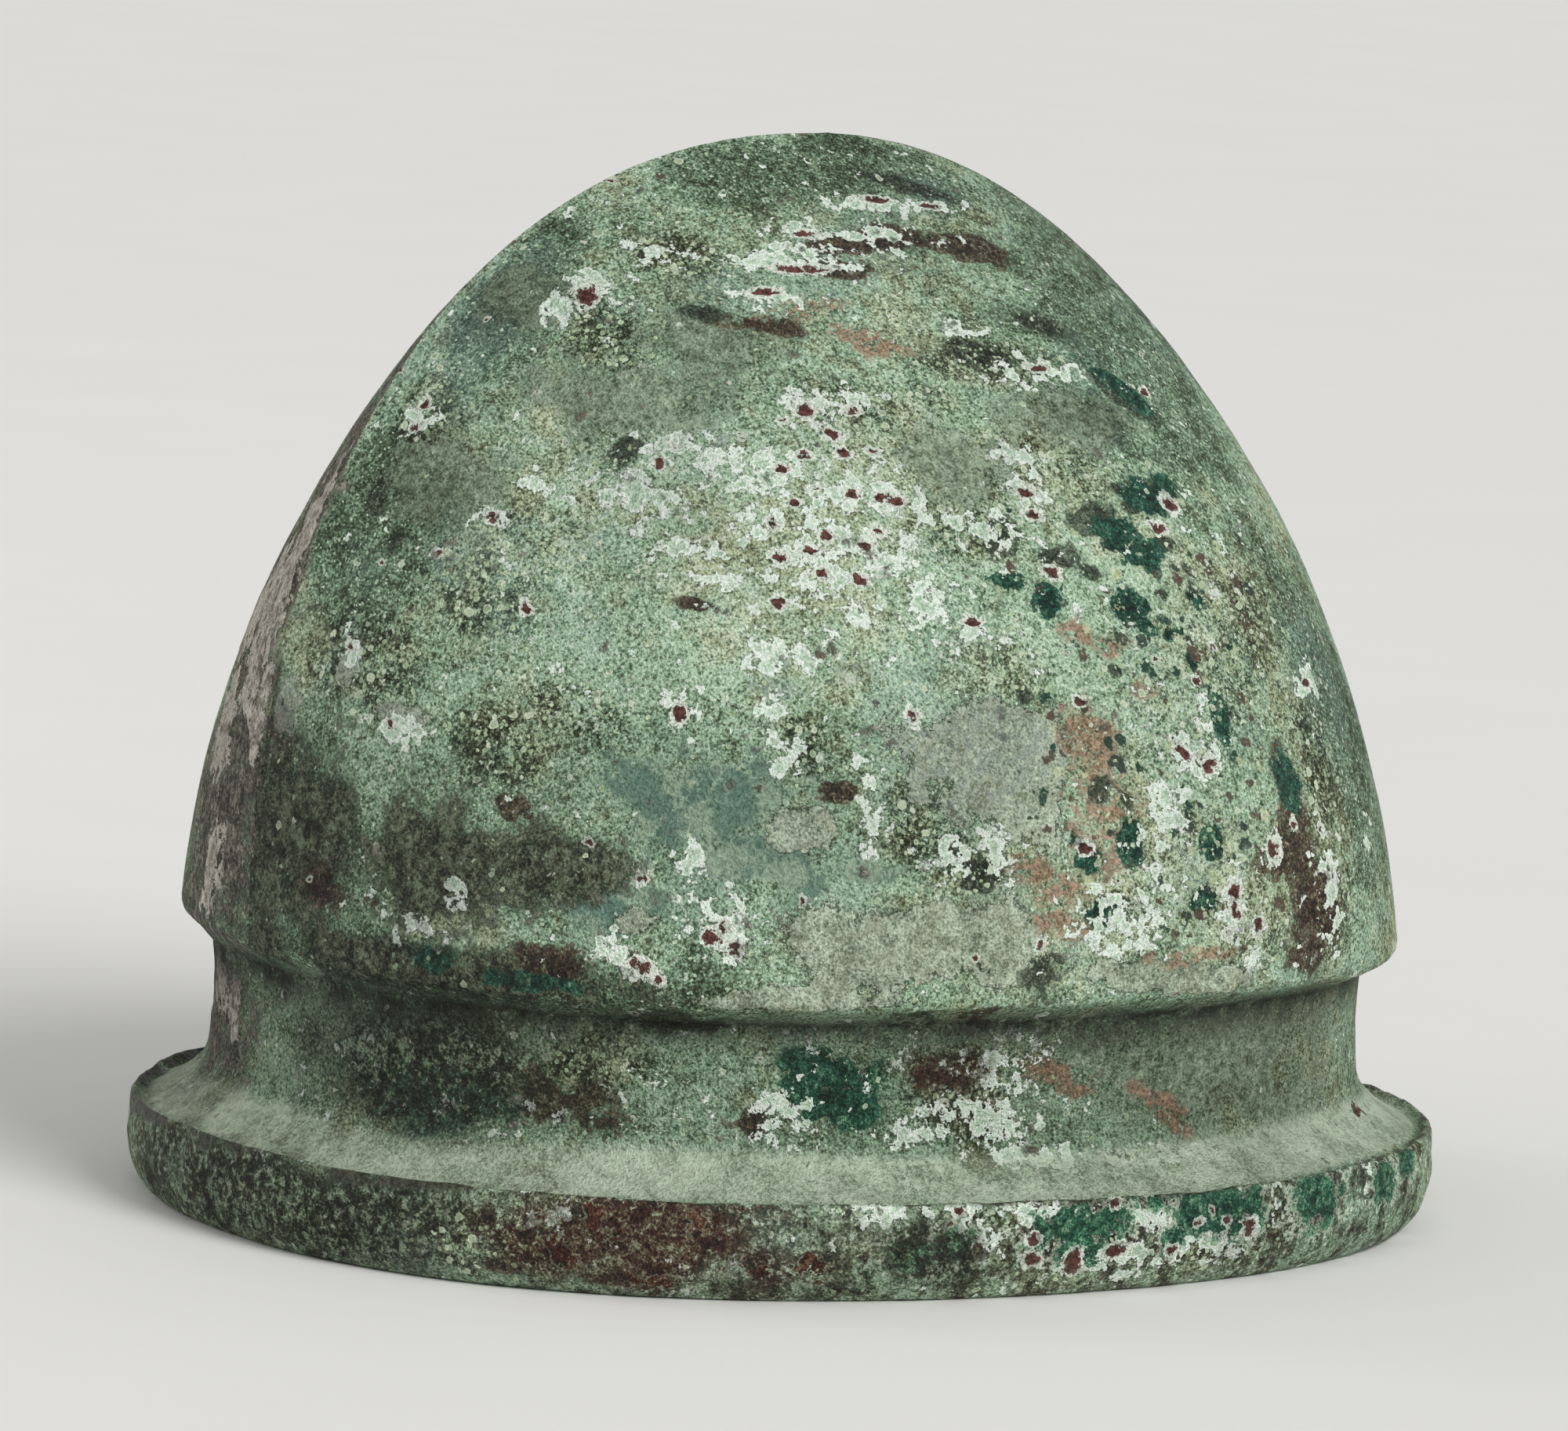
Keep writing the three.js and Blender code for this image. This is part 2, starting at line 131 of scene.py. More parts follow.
# Rings of the helmet
def inset(plan, size):
    return (plan[0] - size, plan[1] - size, plan[2] - size, plan[3])


def ring(plan, z, keel=0.0, angles=None):
    """One level ring of points. A keel above 0 gives it a ridge at the front and the back."""
    angles = ANGLES if angles is None else angles
    front, back, side, power = plan
    along = np.cos(angles)
    half = np.where(along > 0, front, back)
    bulge = np.maximum(1 - (1 - keel**2) * np.abs(along) ** power, 0) ** (1 / power)
    corner = keel ** (2 / power)
    x = side * np.sign(np.sin(angles)) * (bulge - corner) / (1 - corner)
    return np.stack([x, WIDEST_Y - half * along, np.full(len(angles), float(z))], 1)


def crown_rings(plan, height, count):
    """Rings from just under the apex down to the shoulder."""
    rings = []
    for index in range(count - 1, -1, -1):
        t = math.sin(math.pi / 2 * index / count)
        sizes = [size * (1 - t**rise) ** (1 / power) for size, (rise, power) in zip(plan, CROWN_POWERS)]
        keel = KEEL_SHARES[0] + KEEL_SHARES[1] * t + KEEL_SHARES[2] * t * t
        rings.append(ring((*sizes, plan[3]), SHOULDER_Z + height * t, keel))
    return rings


def shoulder_rings(plan, radius, count):
    """Rings that turn the crown's foot in under itself."""
    rings = []
    for index in range(1, count + 1):
        turn = SHOULDER_TURN * index / count
        size = inset(plan, radius * (1 - math.cos(turn)))
        rings.append(ring(size, SHOULDER_Z - radius * math.sin(turn), KEEL_SHARES[0]))
    return rings


def lower_plan(out):
    """The plan of neck and brim at a distance out from the neck."""
    share = out / OVERHANG
    return tuple(a + (b - a) * share for a, b in zip(NECK, BRIM))


def even_line(points, count, curved=True):
    """Points at even distances along a line through the given ones."""
    p = np.array(points, float)
    q = np.vstack([2 * p[0] - p[1], p, 2 * p[-1] - p[-2]])
    fine = []
    for i in range(len(p) - 1):
        a, b, c, d = q[i : i + 4]
        for t in np.arange(CURVE_STEPS) / CURVE_STEPS:
            bend = (2 * a - 5 * b + 4 * c - d) * t**2 + (3 * b - 3 * c + d - a) * t**3
            fine.append(0.5 * (2 * b + (c - a) * t + bend) if curved else b + (c - b) * t)
    fine = np.array(fine + [p[-1]])
    run = np.r_[0, np.cumsum(np.hypot(*np.diff(fine, axis=0).T))]
    at = np.linspace(0, run[-1], count)
    return np.stack([np.interp(at, run, fine[:, k]) for k in range(2)], 1)


def neck_path():
    """Down the neck and out over the brim, as (distance out, height)."""
    neck = [(-NECK_WAIST * w, NECK_FOOT_Z + NECK_HEIGHT * h) for w, h in NECK_SHARES]
    run, drop = OVERHANG - LIP_BAND, DISH_Z - NECK_FOOT_Z
    return neck + [(run * o, NECK_FOOT_Z + drop * d) for o, d in BRIM_TOP_SHARES]


def rim_path():
    """Over the brim's lip and down its outer wall."""
    lip = [(OVERHANG - LIP_BAND * (1 - b), DISH_Z + LIP_RISE * r) for b, r in LIP_SHARES]
    path = lip + [(OVERHANG - LIP_TAPER / 2, DISH_Z - LIP_RISE / 2)]
    for index in range(RIM_STEPS + 1):
        turn = math.pi / 2 * (1 - index / RIM_STEPS)
        path.append((OVERHANG - RIM_TURN_IN * (1 - math.sin(turn)), RIM_BELLY * (1 - math.cos(turn))))
    return path


def channel_path():
    """The hollow of the brim, from the foot's edge up to under the dish."""
    edge = OVERHANG - RIM_TURN_IN - FOOT_BAND
    start, wall = edge + SEAT_WIDTH, OVERHANG - BRIM_WALL
    path = [(edge, 0.0), (edge, FOOT_WALL)]
    for index in range(CHANNEL_STEPS + 1):
        turn = math.pi / 2 * index / CHANNEL_STEPS
        high = FOOT_WALL + (RIM_BELLY - FOOT_WALL) * (1 - math.cos(turn))
        path.append((start + (wall - start) * math.sin(turn), high))
    return path + [(wall - LIP_TAPER, DISH_Z - BRIM_WALL)]


def through_sheet(path, wall):
    """The same path one wall's thickness further in."""
    p = np.array(path, float)
    along = np.gradient(p, axis=0)
    along /= np.hypot(*along.T)[:, None]
    return p + np.stack([along[:, 1], -along[:, 0]], 1) * wall


def as_rings(path):
    return [ring(lower_plan(out), z) for out, z in path]


# Kinds of patches that the far side doesn't repeat
NEAR_ONLY = ("bare", "scale")

# Patches of the patina: angle in degrees from the ridge at the front, level in
# millimetres above the shoulder's edge, half width, half height and, where it leans, the tilt
PATCHES = {
    "spot": [
        (37, 136, 3.5, 3), (74, 157, 2.5, 1.5), (72, 148, 4, 1.6), (66, 142, 3, 1.6, 20),
        (93, 166, 2, 1.5), (108, 165, 2, 1.4), (17, 106, 2, 2), (17, 101, 2, 1.5), (32, 87, 2, 1.6),
        (26, 79, 1.6, 1.4), (53, 106, 1.5, 1.3), (51, 102, 2.4, 1.6, 60), (68, 105, 2, 1.5),
        (65, 102, 2, 1.6), (69, 115, 2, 3, 15), (75, 115, 2, 1.6), (76, 96, 2.2, 1.8), (73, 97, 2.2, 1.6),
        (78, 95, 1.6, 1.4), (75, 89, 1.6, 1.6), (73, 86, 1.5, 1.4), (69, 88, 2.5, 1.6, 50),
        (67, 85, 2, 1.6), (68, 80, 2, 1.5), (94, 97, 2, 1.6), (94, 92, 2, 1.8), (105, 124, 2.4, 1.6),
        (124, 117, 2, 1.5), (115, 93, 2, 3), (111, 88, 2.4, 2), (52, 53, 2, 2.4), (16, 59, 1.8, 1.5),
        (22, 46, 1.6, 1.4), (75, 53, 1.5, 2.6), (93, 55, 1.6, 1.4), (127, 55, 3, 1.6),
        (104, 45, 1.5, 3.4, 25), (107, 42, 2.4, 2.2), (114, 26, 2.5, 3.5), (108, 19, 1.8, 2.6),
        (108, 15, 1.8, 2), (107, 11, 1.8, 1.8), (111, 12, 1.8, 2.4), (54, 13, 2.4, 2), (55, 15, 1.8, 1.5),
        (56, 11, 2.4, 2), (47, 7, 3.4, 2.6), (49, 5, 2, 1.6), (77, -49, 1.6, 1.4), (79, -56, 1.6, 2.6),
        (84, -54, 2, 1.5), (84, -58, 2.4, 2), (88, -60, 2.4, 1.6), (92, -57, 4, 1.7, 15),
        (92, -48, 1.5, 2), (107, -56, 1.6, 2.4), (98, -58, 1.8, 1.4),
    ],
    "emerald": [
        (111, 95, 5, 3.5), (115, 96, 3.5, 3), (105, 88, 4, 4), (107, 84, 4, 4), (92, 75, 2, 4),
        (88, 78, 3, 2.5), (102, 73, 3, 3), (112, 74, 3, 3), (110, 50, 2, 6), (106, 28, 2.4, 3),
        (104, 17, 4, 3), (93, 17, 3, 3), (91, 26, 2.5, 2.5), (96, 29, 2, 4), (118, 37, 3, 5),
        (26, 5, 5, 2.5), (36, 3, 10, 1.7), (119, 118, 8, 1.6, -60), (67, -17, 8, 4), (67, -22, 8, 4),
        (24, -24, 16, 5), (88, -52, 9, 5), (88, -57, 6, 3), (96, -47, 5, 3), (104, -52, 10, 5),
        (102, -48, 6, 3), (98, -57, 3, 3), (116, -52, 8, 5), (128, -52, 5, 5), (134, -50, 4, 4),
        (73, -57, 3.5, 3), (77, -55, 3.5, 3),
    ],
    "darkgreen": [
        (102, 91, 4, 3), (89, 87, 3, 4), (95, 83, 4, 2.5), (96, 126, 3, 4, 30), (111, 134, 6, 2.5, -50),
        (119, 116, 8, 2, -60), (47, 104, 3, 2, 40), (110, 170, 5, 2, -50), (56, 136, 3, 2),
        (20, 80, 4, 2.5, 50), (15, 86, 3, 4, 20), (87, 56, 2, 1.8), (80, 24, 3.4, 2.8), (86, 6, 4, 4),
        (74, -4, 8, 3),
    ],
    "brown": [
        (118, 36, 4, 8), (116, 25, 7, 8), (119, 14, 9, 8), (84, 155, 6, 3, 20), (79, 148, 5, 2.4),
        (108, 154, 8, 3, -30), (65, 134, 4, 3), (54, 74, 2.6, 1.7), (67, 39, 3, 1.8), (47, 7, 4, 3),
        (38, 7, 6, 3), (14, 15, 8, 4), (35, 34, 4, 2), (37, -23, 6, 4), (43, -22, 5, 4), (45, -27, 6, 3),
        (59, -26, 2.4, 3), (78, -17, 6, 3), (80, -4, 5, 3), (45, -54, 5, 4), (51, -53, 7, 4),
        (55, -55, 8, 4), (42, -58, 7, 3), (51, -58, 8, 3), (37, -61, 6, 2), (48, -63, 8, 2),
    ],
    "orange": [
        (94, 46, 5, 6), (94, 38, 6, 7), (93, 28, 6, 6), (85, 25, 4, 3), (89, 18, 5, 5), (101, 57, 2.5, 2),
        (95, 68, 4, 2, -30), (98, 65, 3, 2.5), (80, 131, 6, 2, -35), (67, 136, 5, 2, 30),
        (102, 8, 9, 1.6), (90, -17, 7, 2.4, -35), (103, -25, 6, 2.4, -40), (84, -24, 5, 1.4, -45),
    ],
    "flake": [
        (81, 45, 13, 11), (86, 35, 6, 7), (73, 11, 28, 8), (63, 32, 6, 4), (101, 4, 19, 3.5, -8),
        (7, 46, 6, 5), (16, 56, 3, 5), (23, 48, 6, 2), (47, 15, 5, 3), (62, 2, 20, 2),
    ],
    "teal": [
        (53, 38, 14, 8), (57, 27, 7, 4), (62, 27, 5, 7), (44, 17, 8, 4), (36, 3, 8, 1.6),
        (69, 25, 5, 1.5),
    ],
    "plain": [
        (110, -17, 28, 11, -8), (24, 132, 10, 8), (57, 130, 8, 5), (86, 103, 5, 7), (106, 112, 9, 5),
        (46, 114, 12, 8), (24, 92, 12, 7),
    ],
    # Pale patches: a lighter ground, partly the patina's own tone and partly painted light where the light
    # falls brightest on the crown
    "pale": [(70, 80, 28, 36), (98, 70, 24, 36), (47, 85, 16, 26), (101, 18, 18, 13)],
    "mosaic": [(112, 70, 21, 16), (96, 82, 9, 8), (94, 36, 8, 17), (108, 36, 14, 15), (104, 15, 10, 8)],
    # Dull patches: a darker, browner ground, partly the patina's own tone and partly painted shade where the
    # light falls off at the crown's top and sides
    "dull": [
        (22, 132, 14, 20), (80, 176, 34, 14), (130, 120, 20, 34), (14, 82, 18, 22), (12, 20, 20, 16),
        (30, 1, 55, 7), (134, 50, 16, 40),
    ],
    # Painted shadow: dark patches on the neck's left side, the brim's left wall and under the shoulder's
    # overhang
    "painted_shadow": [(22, -19, 28, 11), (8, -53, 45, 11), (50, -4, 70, 2.5), (75, -57, 10, 6)],
    "rust": [(49, -56, 27, 9), (78, -16, 7, 4), (80, -5, 6, 3)],
    "rough": [
        (10, 24, 14, 16), (26, 22, 12, 10), (38, 24, 12, 6), (1, 25, 7, 20), (22, 3, 40, 4),
        (50, -6, 9, 4),
    ],
    "granule": [
        (78, 112, 11, 9), (83, 88, 9, 6), (91, 101, 6, 9), (100, 104, 9, 7), (84, 62, 9, 7),
        (97, 125, 8, 5), (117, 68, 12, 10), (106, 56, 11, 7), (105, 45, 8, 5), (18, 58, 14, 8),
        (30, 73, 10, 8), (37, 84, 7, 5), (47, 95, 7, 5), (18, 104, 9, 8), (42, 127, 7, 6),
        (48, 149, 8, 6), (34, 45, 9, 7), (42, 52, 9, 5), (64, 48, 5, 8), (74, 34, 4, 7), (79, 26, 6, 5),
        (96, 15, 8, 6), (102, 30, 9, 8), (109, 14, 7, 8), (122, 14, 8, 10), (124, 40, 7, 12),
        (24, -21, 15, 7), (44, -17, 9, 5), (80, -22, 9, 8), (98, -54, 30, 7), (25, -56, 36, 5),
    ],
    "mint": [
        (53, 106, 7, 3), (58, 105, 7, 2.5), (64, 101, 6, 6), (62, 98, 7, 3), (42, 98, 4, 1.8),
        (37, 95, 6, 2.4), (32, 87, 4, 2.6), (48, 95, 7, 4), (61, 91, 8, 4), (67, 85, 7, 8),
        (54, 84, 5, 3), (56, 79, 5, 2), (33, 132, 3, 4), (36, 138, 6, 3), (45, 149, 6, 2.4),
        (66, 150, 5, 3), (73, 152, 5, 3), (74, 159, 3, 1.8), (66, 141, 5, 2), (61, 65, 3, 4),
        (65, 62, 2, 3), (52, 53, 3, 3.4), (61, 55, 3, 3), (23, 46, 5, 2.4), (16, 59, 2.4, 4),
        (17, 103, 6, 2.6), (70, 115, 3, 4), (72, 97, 8, 4), (77, 96, 6, 6), (69, 86, 6, 6),
        (77, 84, 5, 5), (78, 75, 4, 5), (71, 73, 2, 4), (75, 117, 3, 2.4), (94, 97, 3, 9),
        (94, 104, 4, 3), (82, 68, 5, 2.4), (93, 165, 4, 2), (89, 157, 4, 2.4), (105, 124, 7, 3),
        (97, 133, 4, 2), (107, 165, 4, 1.8), (87, 89, 4, 4), (61, 47, 3, 5), (70, 37, 2, 8),
        (82, 29, 2.4, 5), (77, 27, 4, 3), (96, 17, 8, 6), (93, 11, 6, 3), (100, 33, 4, 5),
        (105, 44, 5, 4), (108, 15, 3, 6), (110, 6, 2, 4), (123, 18, 4, 9), (54, 18, 6, 6), (55, 12, 8, 3),
        (45, 11, 3, 2.4), (52, 26, 3, 4), (29, 17, 3, 4), (25, 10, 6, 3), (127, 55, 5, 4),
        (85, -11, 6, 3), (83, -15, 5, 4), (81, -25, 8, 4), (75, -27, 6, 3), (63, -24, 5, 4),
        (87, -32, 9, 2), (103, -34, 12, 2), (76, -48, 7, 3), (84, -50, 5, 3), (91, -49, 6, 3),
        (92, -57, 14, 4), (101, -58, 9, 3), (70, -49, 6, 2.4), (79, -54, 5, 4), (107, -54, 5, 3),
        (126, -51, 4, 6), (95, -51, 6, 2), (42, -52, 6, 2.4), (8, -44, 4, 2.4),
    ],
    "bluegrey": [
        (80, 46, 12, 9), (16, 56, 3, 5), (23, 48, 6, 1.8), (7, 46, 5, 4), (70, 61, 3, 2), (61, 60, 3, 4),
        (57, 107, 2.4, 1.6), (70, 113, 3, 2), (104, 17, 5, 4),
    ],
    "bare": [(347, 30, 24, 34), (346, 66, 22, 34), (351, 100, 12, 24), (343, -16, 22, 15)],
    # Raised scales on the left face by the ridge, painted pale as a painted highlight
    "scale": [
        (346, 62, 13, 22), (353, 44, 6, 16, 10), (340, 40, 8, 10, 20), (350, 84, 5, 10), (336, 58, 6, 9),
        (347, 14, 4, 9), (344, -12, 5, 8), (351, -18, 3, 6),
    ],
}

# Areas with more small patches, thrown at random: angle, level, half width, half height, how many
SCATTERED = {
    "spot": [(70, 95, 14, 20, 9), (95, -55, 26, 5, 8), (70, 60, 60, 60, 9), (113, 45, 20, 34, 5)],
    "emerald": [(110, 78, 14, 18, 9), (110, -54, 24, 5, 5)],
    "darkgreen": [(108, 84, 12, 14, 9), (96, 60, 20, 30, 7)],
}
SCATTERED_SIZE = (1.1, 2.1)

# The far side's twins of the patches: where they start and how they spread round the helmet, how
# far each is moved round it and up or down, the least level that moves, and their change of size
TWIN_START, NEAR_START, TWIN_SPREAD = 338, -18, 1.12
TWIN_TURN, TWIN_SHIFT, SHIFT_ABOVE, TWIN_SIZE = 14, 12, 14, (0.75, 1.3)

# How ragged the patches are, and the first seeds of the random draws
RAGGED, SPOT_RAGGED = 0.4, 0.1
FAR_SEED, WIDE_SEED, FINE_SEED, NEAR_SEED = 100, 200, 300, 400
RIVET_SEED, STITCH_SEED = 61, 41

# Bands of the bowl by depth in millimetres under the shoulder's edge: where each starts and ends
BANDS = {
    "dust": ((29.5, 33), (42.5, 44.5)),
    "lip": ((43.5, 45), (47, 48.5)),
    "rim": ((46, 48.5), None),
    "neck": ((1, 4), (29, 33)),
    # The crease band carries painted shade under the shoulder's overhang
    "crease": ((0.5, 3), (7, 17)),
}


# Random fields, the same on each run
def field(points, size, seed):
    """A smooth random field from -1 to 1, with waves about as long as size."""
    chance = np.random.default_rng(seed)
    table = chance.random((40, 40, 40)) * 2 - 1
    at = points / size + chance.random(3) * 40
    cell = np.floor(at).astype(int)
    part = at - cell
    part = part * part * (3 - 2 * part)
    total = np.zeros(points.shape[:-1])
    for corner in itertools.product((0, 1), repeat=3):
        weight = np.prod(np.where(np.array(corner) == 1, part, 1 - part), axis=-1)
        x, y, z = np.moveaxis((cell + corner) % 40, -1, 0)
        total += weight * table[x, y, z]
    return total


def waves(points, *terms):
    """A sum of random fields, each given as its height, the length of its waves and its seed."""
    return sum(height * field(points, size, seed) for height, size, seed in terms)


def step(value, low, high):
    """0 up to low, 1 from high on and a smooth way between them."""
    t = np.clip((value - low) / (high - low), 0, 1)
    return t * t * (3 - 2 * t)


class Skin:
    """The bowl's grid of points, with the angle and the level of each."""

    def __init__(self):
        neck = even_line(neck_path(), NECK_ROWS)
        rim = even_line(rim_path(), RIM_ROWS)
        channel = even_line(channel_path(), CHANNEL_ROWS, curved=False)
        inner = through_sheet(neck, BRIM_WALL)[::-1][::2]
        inner[-1, 1] += BRIM_WALL * UNDER_SHOULDER_SHARE
        thin = inset(SHOULDER, CROWN_WALL)
        crown = crown_rings(SHOULDER, APEX_Z - SHOULDER_Z, CROWN_ROWS)
        turn = shoulder_rings(SHOULDER, SHOULDER_RADIUS, SHOULDER_ROWS)
        inside = crown_rings(thin, APEX_Z - SHOULDER_Z - RIDGE_WALL, INSIDE_ROWS)
        under = shoulder_rings(thin, SHOULDER_RADIUS - CROWN_WALL, UNDER_ROWS)
        neck_rings, rim_rings = as_rings(neck[1:]), as_rings(rim)
        hidden = [as_rings(channel[1:]), as_rings(inner), under[::-1], inside[::-1]]
        parts = [crown, turn, neck_rings, rim_rings, *hidden]
        self.grid = np.array([r for part in parts for r in part])
        self.counts = [len(part) for part in parts]
        self.edge_row = len(crown) + len(turn) // 2
        run = np.linalg.norm(np.diff(self.grid, axis=0), axis=2)
        run = np.vstack([np.zeros((1, COLUMNS)), np.cumsum(run, axis=0)])
        self.level = run[self.edge_row] - run
        self.row = np.repeat(np.arange(len(self.grid))[:, None], COLUMNS, 1)
        self.angle = np.repeat(ANGLES[None], len(self.grid), 0)
        self.radius = np.hypot(self.grid[..., 0], self.grid[..., 1] - WIDEST_Y)
        self.outer_rows = sum(self.counts[:4])
        self.outer = self.row < self.outer_rows

    def normals(self):
        """The direction out of the surface at each point."""
        around = np.roll(self.grid, -1, 1) - np.roll(self.grid, 1, 1)
        down = np.gradient(self.grid, axis=0)
        out = np.cross(down, around)
        out /= np.linalg.norm(out, axis=2, keepdims=True) + 1e-9
        first = out[self.counts[0] // 2, COLUMNS // 4]
        return out if first[0] > 0 else -out

    def patches(self, table):
        """1 at the middle of a patch, 0 at its edge and down to -1 away from all of them."""
        best = np.full(self.level.shape, -1.0)
        for angle, level, wide, high, tilt in table:
            turn = (self.angle - math.radians(angle) + math.pi) % (2 * math.pi) - math.pi
            x, y = turn * self.radius, self.level - level
            c, s = math.cos(math.radians(tilt)), math.sin(math.radians(tilt))
            far = np.hypot((x * c + y * s) / wide, (y * c - x * s) / high)
            best = np.maximum(best, 1 - far)
        return np.where(self.outer, best, -1.0)


def near_patches(name, seed):
    """A kind's patches on the near side, with the small ones that are thrown at random."""
    chance = np.random.default_rng(seed)
    table = [(*patch, 0)[:5] for patch in PATCHES[name]]
    for angle, level, wide, high, count in SCATTERED.get(name, []):
        for _ in range(count):
            turn, far = chance.uniform(0, 2 * math.pi), math.sqrt(chance.random())
            x, y = wide * far * math.cos(turn), high * far * math.sin(turn)
            sizes = chance.uniform(*SCATTERED_SIZE, 2)
            turned = angle + math.degrees(x / SHOULDER[2])
            table.append((turned, level + y, *sizes, chance.uniform(-90, 90)))
    return table


def far_twins(table, seed):
    """The same kinds of patches for the side that the photograph doesn't show."""
    chance = np.random.default_rng(seed)
    twins = []
    for angle, level, wide, high, tilt in table:
        near = (angle + 180) % 360 - 180
        place = TWIN_START - (near - NEAR_START) * TWIN_SPREAD + chance.uniform(-TWIN_TURN, TWIN_TURN)
        shift = chance.uniform(-TWIN_SHIFT, TWIN_SHIFT) if level > SHIFT_ABOVE else 0
        size = chance.uniform(*TWIN_SIZE)
        moved = max(level + shift, 1) if level > 0 else level
        twins.append((place % 360, moved, wide * size, high * size, -tilt))
    return twins


# Relief and regions of the bowl
def relief(skin, masks):
    """Height of each point over the smooth shape, in millimetres."""
    at = skin.grid
    height = waves(at, *BROAD_WAVES)
    rough = step(np.maximum(masks["rough"], masks["bare"]), -0.2, 0.25)
    height += rough * (waves(at, *ROUGH_WAVES) - ROUGH_SINK)
    crust = step(masks["mint"] + 0.5 * field(at, 4, 8), 0.1, 0.3)
    height += CRUST_RISE * crust
    grains = step(masks["granule"], -0.2, 0.3)
    height += grains * GRAIN_RISE * field(at, 2.4, 9)
    height += FLAKE_RISE * step(masks["flake"] + 0.12 * field(at, 5, 10), 0.0, 0.1) * (1 - crust)
    pit = step(masks["spot"], 0.25, 0.6)
    height += SPOT_RIM_RISE * step(masks["spot"], -0.3, 0.0) - SPOT_SINK * pit
    height -= EMERALD_SINK * step(masks["emerald"] + 0.3 * field(at, 4, 11), 0.0, 0.3)
    brim = step(-skin.level, 40, 46) * skin.outer
    height += brim * (waves(at, *BRIM_WAVES) - BRIM_SINK)
    crease = step(8 - np.abs(skin.level + 1), 0, 5) * (0.3 + 0.7 * step(field(at, 14, 14), -0.3, 0.4))
    height += crease * (waves(at, *CREASE_WAVES) - CREASE_SINK)
    height += SCALE_RISE * step(masks["scale"] + 0.3 * field(at, 5, 17), 0.0, 0.12)
    height -= WHOLE_SINK
    quiet = step(skin.row, skin.outer_rows - 8, skin.outer_rows)
    inside = waves(at, *INSIDE_WAVES)
    deep = step(skin.row, skin.outer_rows + skin.counts[4], skin.outer_rows + skin.counts[4] + 12)
    return height * (1 - quiet) * skin.outer + inside * deep * ~skin.outer


def regions(skin):
    """The named patches as fields over the bowl, on both sides of the helmet."""
    masks = {}
    for seed, name in enumerate(PATCHES):
        table = near_patches(name, NEAR_SEED + seed)
        if name not in NEAR_ONLY:
            table = table + far_twins(table, FAR_SEED + seed)
        ragged = SPOT_RAGGED if name == "spot" else RAGGED
        wobble = waves(skin.grid, (1, 9, WIDE_SEED + seed), (0.5, 4, FINE_SEED + seed))
        masks[name] = np.clip(skin.patches(table) + ragged * wobble, -1, 1)
    for name, (start, end) in BANDS.items():
        share = step(-skin.level, *start)
        if end:
            share = share * (1 - step(-skin.level, *end))
        masks[name] = np.where(skin.outer, share, 0)
    masks["inside"] = np.where(skin.outer, 0, 1.0)
    return masks


def ring_faces(rows, columns, capped):
    """The quads between rings, and the two fans that close the first and the last ring if capped."""
    count = rows - 1 if capped else rows
    r, c = np.meshgrid(np.arange(count), np.arange(columns), indexing="ij")
    below, beside = (r + 1) % rows, (c + 1) % columns
    corners = ((r, c), (below, c), (below, beside), (r, beside))
    quads = np.stack([row * columns + column for row, column in corners], -1)
    if not capped:
        return quads.reshape(-1, 4), np.zeros((0, 3), int)
    c, n, last = np.arange(columns), (np.arange(columns) + 1) % columns, (rows - 1) * columns
    top = np.stack([np.full(columns, rows * columns), c, n], 1)
    bottom = np.stack([np.full(columns, rows * columns + 1), last + n, last + c], 1)
    return quads.reshape(-1, 4), np.vstack([top, bottom])


def grid_mesh(name, grid, ends=None):
    """A closed mesh from rings of points. Two end points cap it, or else the last ring meets the first."""
    rows, columns = grid.shape[:2]
    points = grid.reshape(-1, 3) if ends is None else np.vstack([grid.reshape(-1, 3), ends])
    quads, fans = ring_faces(rows, columns, ends is not None)
    loops = np.concatenate([quads.ravel(), fans.ravel()])
    sizes = np.concatenate([np.full(len(quads), 4), np.full(len(fans), 3)])
    mesh = bpy.data.meshes.new(name)
    mesh.vertices.add(len(points))
    mesh.vertices.foreach_set("co", (points * MM).ravel())
    mesh.loops.add(len(loops))
    mesh.loops.foreach_set("vertex_index", loops)
    mesh.polygons.add(len(sizes))
    mesh.polygons.foreach_set("loop_start", np.concatenate([[0], np.cumsum(sizes)[:-1]]))
    mesh.update(calc_edges=True)
    mesh.polygons.foreach_set("use_smooth", np.ones(len(mesh.polygons), bool))
    return mesh


